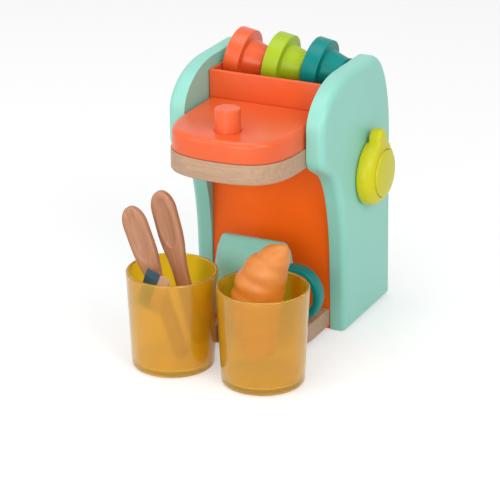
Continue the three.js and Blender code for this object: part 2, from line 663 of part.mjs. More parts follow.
// The shaft steps down behind the shell, so that the click wheel and the bracket slide onto it
const SHAFT_END_X = BRACKET_X - 1.5;
const STEP_X = 57;
const THIN_RADIUS = 3;
function dialShaft() {
  const high = DIAL_X + SOCKET_DEPTH - GAP;
  const blank = turnedAlongX(
    [[0, SHAFT_END_X], [THIN_RADIUS, SHAFT_END_X], [THIN_RADIUS, STEP_X], [SHAFT_RADIUS, STEP_X], [SHAFT_RADIUS, high], [0, high]],
    20,
  );
  return cut(blank, discAlongX(1.3, high - 12, high + 1, 12));
}

// Click wheel: round lobes that push a leaf spring as the dial turns
const CLICKS = 12;
const WHEEL_X = [50, 56];
const WHEEL_RADIUS = 12;
const LOBE_HEIGHT = 1.4;
function clickWheel() {
  const rim = new THREE.Shape();
  const steps = 6 * CLICKS;
  for (let i = 0; i < steps; i += 1) {
    const angle = (2 * Math.PI * i) / steps;
    const radius = WHEEL_RADIUS - LOBE_HEIGHT * Math.cos(CLICKS * (angle - Math.PI / 2));
    const point = [radius * Math.cos(angle), radius * Math.sin(angle)];
    if (i === 0) rim.moveTo(...point);
    else rim.lineTo(...point);
  }
  const wheel = slab(rim, "x", ...WHEEL_X, 1);
  return cut(wheel, discAlongX(THIN_RADIUS + GAP, WHEEL_X[0] - 1, WHEEL_X[1] + 1, 20));
}

// Bracket: carries the shaft's inner end, the board and the leaf spring's foot
const BRACKET_Y = [DIAL_Y - 28, DIAL_Y + 28];
const BRACKET_Z = [DIAL_Z - 26, DIAL_Z + 24];
function mechanismBracket() {
  const plan = rectangle(...BRACKET_Y, ...BRACKET_Z, 4);
  const plate = slab(plan, "x", BRACKET_X, BRACKET_X + BRACKET_THICKNESS, 3);
  const bearing = discAlongX(THIN_RADIUS + GAP, BRACKET_X - 1, BRACKET_X + 9, 20).translate(0, DIAL_Y, DIAL_Z);
  const holes = BRACKET_SCREWS.map((y) =>
    discAlongX(1.7, BRACKET_X - 1, BRACKET_X + 9, 12).translate(0, y, BRACKET_SCREW_Z),
  );
  const foot = box(BRACKET_X + 1, WHEEL_X[1], DIAL_Y - 20, DIAL_Y - 15, DIAL_Z + 15.6, DIAL_Z + 19);
  return cut(join(plate, foot), bearing, ...holes);
}

// Leaf spring: held under the bracket's foot at one end, its bent nose just clear of the lobes
const LEAF_THICKNESS = 0.7;
function clickSpring() {
  const lobeTop = DIAL_Z + WHEEL_RADIUS + LOBE_HEIGHT;
  const high = lobeTop + 1.9;
  const low = high - LEAF_THICKNESS;
  const dip = lobeTop - 0.8; // pull of the nose's curve, about twice as deep as the nose
  const leaf = new THREE.Shape();
  leaf.moveTo(DIAL_Y - 20, high);
  leaf.lineTo(DIAL_Y - 5, high);
  leaf.quadraticCurveTo(DIAL_Y, dip + LEAF_THICKNESS, DIAL_Y + 5, high);
  leaf.lineTo(DIAL_Y + 7, high);
  leaf.lineTo(DIAL_Y + 7, low);
  leaf.quadraticCurveTo(DIAL_Y, dip, DIAL_Y - 7, low);
  leaf.lineTo(DIAL_Y - 20, low);
  return slab(leaf, "x", WHEEL_X[0], WHEEL_X[1], 5);
}

// A tumbler with a slightly recessed foot
function mug() {
  const rim = MUG_RIM_RADIUS;
  const foot = MUG_FOOT_RADIUS;
  return turned(
    [
      [0, 1],
      [foot - 5, 1],
      [foot - 3.5, 0],
      [foot - 1, 0],
      [foot, 1.4],
      [rim, MUG_HEIGHT - 0.9],
      [rim - 0.8, MUG_HEIGHT],
      [rim - MUG_WALL + 0.6, MUG_HEIGHT],
      [rim - MUG_WALL, MUG_HEIGHT - 0.9],
      [foot - MUG_WALL + 0.2, 6],
      [foot - MUG_WALL - 2, 4],
      [0, 4],
    ],
    32,
  );
}

// A flat wooden spoon standing on its handle's end: a long round-ended bowl above a narrower handle
function spoon() {
  const bowlHalf = 10;
  const handleHalf = 5.8;
  const shoulder = SPOON_LENGTH - 52;
  const outline = new THREE.Shape();
  outline.moveTo(-handleHalf, handleHalf);
  outline.absarc(0, handleHalf, handleHalf, Math.PI, 2 * Math.PI);
  outline.lineTo(handleHalf, shoulder - 18);
  outline.bezierCurveTo(handleHalf, shoulder, bowlHalf, shoulder + 4, bowlHalf, shoulder + 22);
  outline.lineTo(bowlHalf, SPOON_LENGTH - 15);
  outline.absellipse(0, SPOON_LENGTH - 15, bowlHalf, 15, 0, Math.PI);
  outline.lineTo(-bowlHalf, shoulder + 22);
  outline.bezierCurveTo(-bowlHalf, shoulder + 4, -handleHalf, shoulder, -handleHalf, shoulder - 18);
  const half = SPOON_THICKNESS / 2;
  const blank = roundedSlab(outline, "y", -half, half, 1.6, { segments: 1, curveSegments: 6 });
  const scoop = new THREE.SphereGeometry(1, 14, 8).scale(7.2, 3, 21);
  return cut(blank, scoop.translate(0, -half - 0.9, SPOON_LENGTH - 25));
}

// Croissant: overlapping swollen turns of dough standing on one end, each [x, height, girth]
const DOUGH_TURNS = [
  [-4, 26, 15],
  [-5.5, 39, 18],
  [-6, 52, 19.6],
  [-5.3, 64, 20.4],
  [-2.6, 75, 19.8],
  [1.8, 86, 17.4],
  [7.6, 95.5, 12.8],
  [12.8, 102.2, 8.2],
  [16.6, 106.6, 4.2],
];
const DOUGH_TURN_LENGTH = 10.5;
function croissant() {
  const centres = DOUGH_TURNS.map(([x, z]) => new THREE.Vector3(x, 0, z));
  const rolls = DOUGH_TURNS.map(([, , girth], i) => {
    const ahead = centres[Math.min(i + 1, centres.length - 1)];
    const behind = centres[Math.max(i - 1, 0)];
    const along = ahead.clone().sub(behind).normalize();
    const length = Math.min(DOUGH_TURN_LENGTH, 1.2 * girth);
    const roll = new THREE.SphereGeometry(1, 14, 7).rotateX(Math.PI / 2).scale(girth, 0.88 * girth, length);
    const lean = new THREE.Quaternion().setFromUnitVectors(new THREE.Vector3(0, 0, 1), along);
    return roll.applyQuaternion(lean).translate(centres[i].x, 0, centres[i].z);
  });
  return join(...rolls);
}

// A flat packet: a puffed middle between two crimped ends
const SACHET_HALF = 10;
const SACHET_LENGTH = 32;
function sachet() {
  const options = { segments: 1, curveSegments: 3 };
  const middle = rectangle(-SACHET_HALF, SACHET_HALF, 4, SACHET_LENGTH - 4, 3);
  const puff = roundedSlab(middle, "y", -2.2, 2.2, 1.8, options);
  const crimp = slab(rectangle(-SACHET_HALF, SACHET_HALF, 0, SACHET_LENGTH), "y", -0.6, 0.6, 1);
  return join(puff, crimp);
}

// Milk jug: a box-like moulding with round corners that draws in to a closed ridge on top
function squareRing(halfX, halfY, z, count = 28) {
  const power = 0.5;
  const ring = [];
  for (let i = 0; i < count; i += 1) {
    const angle = (2 * Math.PI * i) / count;
    const [c, s] = [Math.cos(angle), Math.sin(angle)];
    const x = JUG_X + halfX * Math.sign(c) * Math.abs(c) ** power;
    const y = JUG_Y + halfY * Math.sign(s) * Math.abs(s) ** power;
    ring.push(new THREE.Vector3(x, y, z));
  }
  return ring;
}

const JUG_HALF_X = 30;
const JUG_HALF_Y = 16;
const JUG_LOW_Z = PLATFORM_TOP_Z + GAP;
const JUG_LEVELS = [
  [JUG_LOW_Z + 2, JUG_HALF_X, JUG_HALF_Y],
  [JUG_TOP_Z - 20.5, JUG_HALF_X, JUG_HALF_Y - 0.5],
  [JUG_TOP_Z - 8.5, JUG_HALF_X - 1, 11],
  [JUG_TOP_Z - 2, JUG_HALF_X - 2.5, 4.5],
  [JUG_TOP_Z, JUG_HALF_X - 4.5, 2.6],
]; // each a height, half the width and half the depth

// The jug's form, drawn out or in by an amount on every side
function jugForm(grow, low) {
  const foot = squareRing(JUG_HALF_X - 1 + grow, JUG_HALF_Y - 1 + grow, low);
  const rings = JUG_LEVELS.map(([z, halfX, halfY]) => squareRing(halfX + grow, Math.max(halfY + grow, 1), z));
  return loft([foot, ...rings]);
}

// The moulding is open below, where a flat base closes it
const JUG_BASE_THICKNESS = 2.2;
const jugBaseRing = (gap, z) => squareRing(JUG_HALF_X - JUG_WALL - gap, JUG_HALF_Y - JUG_WALL - gap, z);
function jugBody() {
  const ridge = box(-60, 60, -60, 60, JUG_TOP_Z - 6, JUG_TOP_Z + 1);
  const hollow = cut(jugForm(-JUG_WALL, JUG_LOW_Z), ridge);
  const mouth = loft([jugBaseRing(0, JUG_LOW_Z - 1), jugBaseRing(0, JUG_LOW_Z + JUG_BASE_THICKNESS + GAP)]);
  return cut(jugForm(0, JUG_LOW_Z), hollow, mouth);
}
function jugBase() {
  return loft([jugBaseRing(GAP, JUG_LOW_Z), jugBaseRing(GAP, JUG_LOW_Z + JUG_BASE_THICKNESS)]);
}

function jugHandle() {
  const [y, side] = [JUG_Y, JUG_X + JUG_HALF_X];
  const loop = new THREE.CatmullRomCurve3([
    new THREE.Vector3(side - 3, y, 58.7),
    new THREE.Vector3(side + 6, y, 60.2),
    new THREE.Vector3(side + 15, y, 57.4),
    new THREE.Vector3(side + 22, y, 50),
    new THREE.Vector3(side + 24.7, y, 40.5),
    new THREE.Vector3(side + 22, y, 30.2),
    new THREE.Vector3(side + 15, y, 23.6),
    new THREE.Vector3(side + 6, y, 22.2),
    new THREE.Vector3(side - 3, y, 22.6),
  ]);
  return cut(bar(loop, 6, 3, 18, 12), jugForm(GAP, JUG_LOW_Z));
}

// Machine
add("right_side_shell", dialSideShell(), mint());
add("left_side_shell", mirrored(sideShell()), mint());
add("back_cover", backCover(), mint());
add("front_wall", frontWall(), orange());
add("bottom_cover", bottomCover(), orange());
add("cup_platform", platform(), beech());
add("drip_grille", dripGrille(), coral());
add("head_plate", headPlate(), beech());
add("head_cover", headCover(), coral());
add("brew_spout", brewSpout(), coral());
add("pod_rack", podRack(), coral());
PAD_PLACES.forEach(([x, y], i) => {
  add(`rubber_pad_${i + 1}`, disc(PAD_RADIUS, 0, 1.2, 16).translate(x, y, 0), rubber());
});

add("brew_knob", brewKnob(), coral());
add("knob_spring", knobSpring(), steel());

// Dial and its click mechanism, about the dial's axis
const dialParts = {
  side_dial: [sideDial(), lime()],
  dial_cap: [dialCap(), lime()],
  dial_shaft: [dialShaft(), nylon()],
  click_wheel: [clickWheel(), nylon()],
};
for (const [name, [geometry, material]] of Object.entries(dialParts)) {
  add(name, geometry, material).position.set(0, DIAL_Y, DIAL_Z);
}
const dialScrew = add("dial_screw", screw(3.2, 1, 10), steel());
dialScrew.position.set(SCREW_SEAT_X + 0.1, DIAL_Y, DIAL_Z);
dialScrew.rotation.y = Math.PI / 2;
add("mechanism_bracket", mechanismBracket(), nylon());
add("click_spring", clickSpring(), steel());
BRACKET_SCREWS.forEach((y, i) => {
  const fastener = add(`bracket_screw_${i + 1}`, screw(2.8, 1.1, 11), steel());
  fastener.position.set(BRACKET_X - 0.2, y, BRACKET_SCREW_Z);
  fastener.rotation.y = -Math.PI / 2;
});
const BOARD_X = BRACKET_X - 5;
add("circuit_board", box(BOARD_X, BOARD_X + 1.6, DIAL_Y - 20, DIAL_Y + 16, DIAL_Z - 14, DIAL_Z + 14), board());
add("sound_switch", box(BOARD_X + 1.9, BOARD_X + 4.6, DIAL_Y + 6, DIAL_Y + 12, DIAL_Z + 4, DIAL_Z + 10), black());
add("sound_chip", turnedAlongX([[0, -1.8], [4, -1], [5, 0], [0, 0]], 16).translate(BOARD_X - 0.3, DIAL_Y - 8, DIAL_Z), black());

// Speaker, cells and covers' screws
const speakerProfile = [[0, -11], [9, -11], [9, -7], [SPEAKER_RADIUS, -3], [SPEAKER_RADIUS, -0.4], [0, -0.4]];
add("speaker", turnedAlongY(speakerProfile, 24).translate(0, BACK_COVER_Y, SPEAKER_Z), black());
add("battery_box", batteryBox(), black());
add("battery_door", batteryDoor(), orange());
CELL_PLACES.forEach((y, i) => {
  const turn = i === 0 ? 0 : Math.PI;
  add(`battery_${i + 1}`, cell().rotateZ(turn).translate(0, y, CELL_Z), steel());
});
const contact = (x) => box(x, x + 0.8, CELL_PLACES[0] - 4, CELL_PLACES[1] + 4, 4, 14);
add("battery_contact_left", contact(-23.5), steel());
add("battery_contact_right", contact(22.7), steel());
const doorScrew = add("door_screw", screw(2.2, 0.9, 9), steel());
doorScrew.position.set(0, DOOR_SCREW_Y, 2.1);
doorScrew.rotation.x = Math.PI;
const coverScrewPlaces = [-SCREW_X, SCREW_X].flatMap((x) => SCREW_HEIGHTS.map((z) => [x, z]));
coverScrewPlaces.forEach(([x, z], i) => {
  const fastener = add(`cover_screw_${i + 1}`, screw(3, 1.1, 9.5), steel());
  fastener.position.set(x, BACK_COVER_Y + 1.3, z);
  fastener.rotation.x = -Math.PI / 2;
});

// Accessories
["coral", "green", "teal"].forEach((colour, i) => {
  const skin = [coral, podGreen, teal][i];
  const pod = new THREE.Group();
  pod.position.set(podX(i), MIDDLE_POD[1], MIDDLE_POD[2]);
  pod.rotation.y = POD_TILT;
  group.add(pod);
  pod.add(add(`pod_${colour}_cup`, podCup(), skin()));
  pod.add(add(`pod_${colour}_lid`, podLid(), foil()));
});
add("mug_left", mug(), amber()).position.set(LEFT_MUG_X, MUG_Y, 0);
add("mug_right", mug(), amber()).position.set(RIGHT_MUG_X, MUG_Y, 0);

function placeSpoon(name, x, y, z, lean) {
  const mesh = add(name, spoon(), spoonWood());
  mesh.position.set(x, y, z);
  mesh.rotation.y = lean;
}
placeSpoon("spoon_front", -23.1, MUG_Y - 2, 5.7, THREE.MathUtils.degToRad(-20.7));
placeSpoon("spoon_back", -17.1, MUG_Y + 14, 11.9, THREE.MathUtils.degToRad(-15.2));
const packet = add("sugar_sachet", sachet(), paper());
packet.position.set(-47.3, MUG_Y - 14.3, 46.1);
packet.rotation.y = THREE.MathUtils.degToRad(20);
add("croissant", croissant(), crust()).position.set(RIGHT_MUG_X, MUG_Y, 0);
add("jug_body", jugBody(), mint());
add("jug_base", jugBase(), mint());
add("jug_handle", jugHandle(), teal());

export default group;
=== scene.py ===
import math

import bmesh
import bpy
from mathutils import Euler, Matrix, Vector


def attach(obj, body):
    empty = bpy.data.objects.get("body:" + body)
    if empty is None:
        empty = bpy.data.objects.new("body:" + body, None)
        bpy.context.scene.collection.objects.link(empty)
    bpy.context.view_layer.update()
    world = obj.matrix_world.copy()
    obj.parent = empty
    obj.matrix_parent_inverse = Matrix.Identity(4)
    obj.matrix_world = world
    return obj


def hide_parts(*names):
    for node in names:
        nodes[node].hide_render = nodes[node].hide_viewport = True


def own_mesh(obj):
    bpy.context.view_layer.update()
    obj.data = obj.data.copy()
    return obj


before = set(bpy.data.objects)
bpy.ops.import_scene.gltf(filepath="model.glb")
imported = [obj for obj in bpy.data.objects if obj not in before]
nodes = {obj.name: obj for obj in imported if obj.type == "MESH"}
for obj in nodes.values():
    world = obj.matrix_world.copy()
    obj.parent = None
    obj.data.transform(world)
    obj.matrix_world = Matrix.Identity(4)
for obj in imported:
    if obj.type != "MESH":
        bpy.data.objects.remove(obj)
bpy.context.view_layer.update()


# Camera: a long lens in front of the machine and to its right, looking slightly down on it.
# Its place and turn were worked out from straight edges and known heights in the photograph.
camera_place = Vector((0.75628, -1.6149, 0.76835))
looking_down = 0.3775
turned_left = 0.4456
camera_roll = -0.0036
sensor_width = 36
lens_in_pixels = 2450.479
picture_width = 500
camera_data = bpy.data.cameras.new("camera")
camera_data.sensor_width = sensor_width
camera_data.lens = sensor_width * lens_in_pixels / picture_width
camera_data.clip_end = 30
camera = bpy.data.objects.new("camera", camera_data)
camera_turn = Euler((math.pi / 2 - looking_down, 0, turned_left)).to_matrix()
camera_turn = camera_turn @ Matrix.Rotation(camera_roll, 3, "Z")
camera.matrix_world = Matrix.Translation(camera_place) @ camera_turn.to_4x4()
bpy.context.scene.collection.objects.link(camera)
bpy.context.scene.camera = camera
bpy.context.scene.view_settings.view_transform = "Standard"


# Floor: a wide white plane that keeps a soft shadow, white to the camera, to gloss and through
# clear plastic. The sky is an even, soft white light.
def link_object(name, mesh):
    made = bpy.data.objects.new(name, mesh)
    bpy.context.scene.collection.objects.link(made)
    return made


def new_material(name):
    material = bpy.data.materials.new(name)
    material.use_nodes = True
    tree = material.node_tree
    return material, tree, tree.nodes["Principled BSDF"]


def preset(node, values):
    """Sets the numbers and colours of a node's inputs by their names."""
    for name, value in values.items():
        node.inputs[name].default_value = value


def larger(tree, first, second):
    chosen = tree.nodes.new("ShaderNodeMath")
    chosen.operation = "MAXIMUM"
    tree.links.new(first, chosen.inputs[0])
    tree.links.new(second, chosen.inputs[1])
    return chosen.outputs[0]


def seen_as_white(tree, plain, white, target):
    """Shows the white shader to the camera, gloss and clear plastic, and the plain one elsewhere."""
    path = tree.nodes.new("ShaderNodeLightPath")
    direct = larger(tree, path.outputs["Is Camera Ray"], path.outputs["Is Glossy Ray"])
    choice = tree.nodes.new("ShaderNodeMixShader")
    tree.links.new(larger(tree, direct, path.outputs["Is Transmission Ray"]), choice.inputs["Fac"])
    tree.links.new(plain.outputs[0], choice.inputs[1])
    tree.links.new(white.outputs[0], choice.inputs[2])
    tree.links.new(choice.outputs[0], tree.nodes[target].inputs["Surface"])


floor_half = 8
floor_level = -0.0005
floor_corners = [(-1, -1), (1, -1), (1, 1), (-1, 1)]
floor_mesh = bpy.data.meshes.new("floor")
floor_mesh.from_pydata(
    [(x * floor_half, y * floor_half, floor_level) for x, y in floor_corners], [], [(0, 1, 2, 3)]
)
floor = link_object("floor", floor_mesh)
floor_paint, tree, paint = new_material("floor_white")
preset(paint, {"Base Color": (0.86, 0.86, 0.86, 1), "Roughness": 0.9, "Specular IOR Level": 0})
glow = tree.nodes.new("ShaderNodeEmission")
preset(glow, {"Strength": 0.42})
shaded = tree.nodes.new("ShaderNodeBsdfDiffuse")
preset(shaded, {"Color": (0.62, 0.62, 0.62, 1)})
lit = tree.nodes.new("ShaderNodeAddShader")
tree.links.new(shaded.outputs[0], lit.inputs[0])
tree.links.new(glow.outputs[0], lit.inputs[1])
seen_as_white(tree, paint, lit, "Material Output")
floor_mesh.materials.append(floor_paint)

sky = bpy.data.worlds.new("soft_sky")
sky.use_nodes = True
bpy.context.scene.world = sky
tree = sky.node_tree
dim_sky = tree.nodes["Background"]
white_sky = tree.nodes.new("ShaderNodeBackground")
for light, strength in ((dim_sky, 0.5), (white_sky, 1)):
    preset(light, {"Color": (1, 1, 1, 1), "Strength": strength})
seen_as_white(tree, dim_sky, white_sky, "World Output")


# Lamps: four large soft boxes, one high on the right, one on the left, one in front and one above,
# all turned to the middle of the toy.
middle_of_toy = Vector((0, 0, 0.1))


def soft_box(name, place, width, power):
    """A square lamp, width across, that points at the middle of the toy."""
    lamp = bpy.data.lights.new(name, "AREA")
    lamp.shape = "SQUARE"
    lamp.size = width
    lamp.energy = power
    lamp_object = bpy.data.objects.new(name, lamp)
    lamp_object.location = place
    facing = middle_of_toy - Vector(place)
    lamp_object.rotation_euler = facing.to_track_quat("-Z", "Y").to_euler()
    bpy.context.scene.collection.objects.link(lamp_object)


soft_box("right_box", (1.7, -1.2, 1.5), width=1.1, power=19)
soft_box("left_box", (-1.5, -1.8, 1.2), width=1.2, power=9)
soft_box("front_box", (0.2, -2.0, 0.45), width=1.2, power=14.5)
soft_box("top_box", (-0.2, -0.2, 2.1), width=1.3, power=14)


# Side shells: two hollow mint mouldings with an arched outline, about 2.4 mm thick, mirror images
# of each other. Their outer edges are full and soft, and they are open inside behind the wall.
shell_outside = 0.0655
shell_inside = 0.0506
shell_wall = 0.0024
shell_edge = 0.0065
slight_edge = 0.0006
back_edge = 0.092
shell_top = 0.2115
arch_y, arch_z = 0.057, 0.137
brow_y, brow_z = 0.011, 0.178
head_edge = -0.0407
window_depth = 0.059
window_front, window_back = 0.011, 0.0855
window_low, window_high = 0.004, 0.1737
bay_half = 0.0503  # half the room between the shells, which wall, head and rack fill
fit_gap = 0.0003  # left free between pieces that meet
past = 0.001  # how far a cutting shape sticks out of what it cuts


def bezier(points, steps):
    """Points along a curve with any number of controls, its start left out."""
    along = []
    for i in range(1, steps + 1):
        level = [Vector(point) for point in points]
        while len(level) > 1:
            level = [a.lerp(b, i / steps) for a, b in zip(level, level[1:])]
        along.append(tuple(level[0]))
    return along


def arc(centre, across, up, start, end, steps):
    """Points of part of an ellipse, angles in degrees, both ends included."""
    angles = [math.radians(start + (end - start) * i / steps) for i in range(steps + 1)]
    return [(centre[0] + across * math.cos(a), centre[1] + up * math.sin(a)) for a in angles]


def shell_outline():
    """Points (y, z) from the foot of the front edge, up over the head and the arch, to the back."""
    points = [(0.008, 0), (0.0049, 0.060)]
    points += bezier([(0.0049, 0.060), (0.0034, 0.090), (-0.005, 0.130), (-0.022, 0.1388)], 20)
    points += [(-0.0335, 0.1457)]
    points += bezier([(-0.0335, 0.1457), (head_edge, 0.150), (head_edge, 0.158)], 8)
    points += arc((brow_y, brow_z), brow_y - head_edge, shell_top - brow_z, 180, 90, 24)
    points += arc((arch_y, arch_z), back_edge - arch_y, shell_top - arch_z, 90, 0, 28)
    points += [(0.096, 0)]
    return points


def drawn_in(outline, distance):
    """The outline moved inwards by a distance, with mitred corners."""
    count = len(outline)
    area = 0
    for (x0, y0), (x1, y1) in zip(outline, outline[1:] + outline[:1]):
        area += x0 * y1 - x1 * y0
    side = 1 if area > 0 else -1
    moved = []
    for i, here in enumerate(outline):
        before = (Vector(here) - Vector(outline[i - 1])).normalized()
        after = (Vector(outline[(i + 1) % count]) - Vector(here)).normalized()
        first = Vector((-before.y, before.x)) * side
        second = Vector((-after.y, after.x)) * side
        mitre = (first + second) / (1 + first.dot(second))
        moved.append(tuple(Vector(here) + mitre * distance))
    return moved


def along_x(u, v, depth):
    return (depth, u, v)


def along_y(u, v, depth):
    return (u, depth, v)


def along_z(u, v, depth):
    return (u, v, depth)


def skin(name, rings):
    """A closed mesh over rings of equally many points, capped at both ends."""
    count = len(rings[0])
    corners = [point for ring in rings for point in ring]
    faces = [tuple(range(count))]
    faces.append(tuple(range(len(corners) - count, len(corners))))
    for row in range(len(rings) - 1):
        for i in range(count):
            a = row * count + i
            b = row * count + (i + 1) % count
            faces.append((a, b, b + count, a + count))
    mesh = bpy.data.meshes.new(name)
    mesh.from_pydata(corners, [], faces)
    work = bmesh.new()
    work.from_mesh(mesh)
    bmesh.ops.remove_doubles(work, verts=work.verts, dist=1e-7)
    bmesh.ops.recalc_face_normals(work, faces=work.faces)
    work.to_mesh(mesh)
    work.free()
    return link_object(name, mesh)


def rounded_slab(name, outline, place, low, high, low_round=0, high_round=0, steps=5):
    """A slab of an outline between two depths, with its rims rounded."""
    rings = []
    for end, radius, inward in ((low, low_round, 1), (high, high_round, -1)):
        rows = []
        for i in range(steps + 1 if radius else 1):
            angle = math.pi / 2 * i / steps
            inset = radius * (1 - math.sin(angle)) if radius else 0
            depth = end + inward * radius * (1 - math.cos(angle)) if radius else end
            rows.append([place(u, v, depth) for u, v in drawn_in(outline, inset)])
        rings += rows if inward == 1 else rows[::-1]
    return skin(name, rings)


def apply_modifiers(piece):
    """Turns what the modifiers make into the piece's own mesh."""
    finished = piece.evaluated_get(bpy.context.evaluated_depsgraph_get())
    made = bpy.data.meshes.new_from_object(finished)
    piece.modifiers.clear()
    piece.data = made
    return piece


def combine(piece, how, *others):
    """Adds or cuts away other pieces, which are used up."""
    for other in others:
        step = piece.modifiers.new("step", "BOOLEAN")
        step.operation = how
        step.solver = "EXACT"
        step.object = other
        apply_modifiers(piece)
        bpy.data.objects.remove(other)


def block(x0, x1, y0, y1, z0, z1):
    corners = [(x0, y0), (x1, y0), (x1, y1), (x0, y1)]
    return rounded_slab("block", corners, along_z, z0, z1)


def smooth(piece, angle=32):
    """Shades the piece smooth, but for edges sharper than the angle."""
    piece.data.shade_smooth()
    piece.data.set_sharp_from_angle(angle=math.radians(angle))
    return piece


def fit(piece, body, material, *replaced):
    """Gives a finished piece its material, its moving body and the solids it stands for."""
    piece.data.materials.clear()
    piece.data.materials.append(material)
    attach(piece, body)
    if replaced:
        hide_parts(*replaced)


def object_space(tree):
    return tree.nodes.new("ShaderNodeTexCoord").outputs["Object"]


def noise(tree, space, scale, detail=2.0, distortion=0.0):
    """A cloudy pattern, read in the given space."""
    made = tree.nodes.new("ShaderNodeTexNoise")
    preset(made, {"Scale": scale, "Detail": detail, "Distortion": distortion})
    tree.links.new(space, made.inputs["Vector"])
    return made.outputs["Fac"]


def spread(tree, pattern, low, high, start=0.0, end=1.0):
    """The pattern's values from start to end, turned into values from low to high."""
    made = tree.nodes.new("ShaderNodeMapRange")
    preset(made, {"From Min": start, "From Max": end, "To Min": low, "To Max": high})
    tree.links.new(pattern, made.inputs["Value"])
    return made.outputs["Result"]


def two_tones(tree, pattern, first, second, start, end, change="LINEAR"):
    """The first colour up to start of the pattern and the second one from end on."""
    made = tree.nodes.new("ShaderNodeValToRGB")
    made.color_ramp.interpolation = change
    for element, colour, position in zip(made.color_ramp.elements, (first, second), (start, end)):
        element.position = position
        element.color = (*colour, 1)
    tree.links.new(pattern, made.inputs["Fac"])
    return made.outputs["Color"]


def relief(tree, shader, pattern, strength, distance):
    """Raises the surface a little where the pattern is high."""
    bump = tree.nodes.new("ShaderNodeBump")
    preset(bump, {"Strength": strength, "Distance": distance})
    tree.links.new(pattern, bump.inputs["Height"])
    tree.links.new(bump.outputs["Normal"], shader.inputs["Normal"])


def moulded_plastic(name, colour, roughness, shade=0.9, grain=0.05, coat=0.0, gloss_level=0.5):
    """Plastic with a fine moulded grain, uneven gloss and a faintly cloudy colour, if it has one."""
    material, tree, shader = new_material(name)
    space = object_space(tree)
    cloud = noise(tree, space, scale=22, detail=3)
    if colour:
        shaded = [shade * part for part in colour]
        tint = two_tones(tree, cloud, shaded, colour, start=0.3, end=0.65)
        tree.links.new(tint, shader.inputs["Base Color"])
    uneven = spread(tree, cloud, low=roughness - 0.06, high=roughness + 0.08)
    tree.links.new(uneven, shader.inputs["Roughness"])
    relief(tree, shader, noise(tree, space, scale=1400), strength=grain, distance=0.0002)
    preset(shader, {"Coat Weight": coat, "Specular IOR Level": gloss_level})
    return material


mint_plastic = moulded_plastic("mint_plastic", (0.27, 0.635, 0.53), 0.4, shade=0.95)


def side_shell(name):
    """The right-hand shell: a full slab, hollowed, with a window towards the middle of the toy."""
    outline = shell_outline()
    shell = rounded_slab(
        name, outline, along_x, shell_inside, shell_outside, slight_edge, shell_edge, steps=10
    )
    lining = drawn_in(outline, shell_wall)
    room = rounded_slab(
        "room", lining, along_x, shell_inside + shell_wall, shell_outside - shell_wall,
        high_round=0.004,
    )
    window = block(
        shell_inside - past, window_depth, window_front, window_back, window_low, window_high
    )
    combine(shell, "DIFFERENCE", room, window)
    return smooth(shell)


right_shell = side_shell("right_shell")
left_shell = side_shell("left_shell")
left_shell.data.transform(Matrix.Scale(-1, 4, (1, 0, 0)))
left_shell.data.flip_normals()
for shell, node in ((right_shell, "right_side_shell"), (left_shell, "left_side_shell")):
    fit(shell, "machine", mint_plastic, node)


# Back cover: one mint sheet that follows the shells' arch from the base to the pod rack, with
# louvres over the speaker and a sunk seat for each of the four screws that hold it.
cover_inside = 0.0865
cover_thickness = 0.0025
cover_outside = cover_inside + cover_thickness
below_arch = 0.003
base_top = 0.0033
rack_back = 0.068
speaker_height = 0.066
louvres = ((-0.010, 0.008), (-0.005, 0.012), (0, 0.013), (0.005, 0.012), (0.010, 0.008))
slit_half = 0.0011
cut_from, cut_to = 0.08, 0.095
screw_hole, screw_seat = 0.0019, 0.0034
seat_floor = cover_inside + 0.0012
screw_places = [(x, z) for x in (-0.044, 0.044) for z in (0.024, 0.118)]


def drum(radius, start, end, centre, place, steps=40):
    """A round slab, as long as from start to end."""
    circle = arc(centre, radius, radius, 0, 360 - 360 / steps, steps - 1)
    return rounded_slab("drum", circle, place, start, end)


def arch_end(face):
    """The angle at which a face of the sheet meets the rack's rear wall."""
    return math.degrees(math.acos((rack_back + fit_gap - arch_y) / (face - arch_y)))


arch = (arch_y, arch_z)
outer_height = shell_top - arch_z - below_arch
inner_height = outer_height - cover_thickness
sheet_outline = [(cover_inside, base_top), (cover_outside, base_top)]
sheet_outline += arc(arch, cover_outside - arch_y, outer_height, 0, arch_end(cover_outside), 26)
sheet_outline += arc(arch, cover_inside - arch_y, inner_height, arch_end(cover_inside), 0, 26)
back_cover = rounded_slab(
    "back_sheet", sheet_outline, along_x, -bay_half, bay_half,
    low_round=0.0004, high_round=0.0004, steps=2,
)
for level, half in louvres:
    low, high = speaker_height + level - slit_half, speaker_height + level + slit_half
    slit = [(-half, low), (half, low), (half, high), (-half, high)]
    combine(back_cover, "DIFFERENCE", rounded_slab("slit", slit, along_y, cut_from, cut_to))
for x, z in screw_places:
    hole = drum(screw_hole, cut_from, cut_to, (x, z), along_y)
    seat = drum(screw_seat, seat_floor, cut_to, (x, z), along_y)
    combine(back_cover, "DIFFERENCE", hole, seat)
fit(smooth(back_cover), "machine", mint_plastic, "back_cover")


# Cover screws: four small plated pan-head screws with a cross recess, all the same, set by a
# geometry node tree on the four places they are driven into.
axis = 1e-6  # the radius of a turned profile's points on its axis
plated_steel, tree, shader = new_material("plated_steel")
preset(shader, {"Metallic": 1, "Base Color": (0.55, 0.56, 0.58, 1)})
scratches = noise(tree, object_space(tree), scale=700)
tree.links.new(spread(tree, scratches, low=0.22, high=0.42), shader.inputs["Roughness"])


def lathe(name, profile, place, centre=(0, 0), steps=64):
    """A turned solid: profile is (radius, depth) pairs from the axis and back to it."""
    rings = []
    for radius, depth in profile:
        turn = []
        for i in range(steps):
            angle = 2 * math.pi * i / steps
            u = centre[0] + radius * math.cos(angle)
            v = centre[1] + radius * math.sin(angle)
            turn.append(place(u, v, depth))
        rings.append(turn)
    return skin(name, rings)


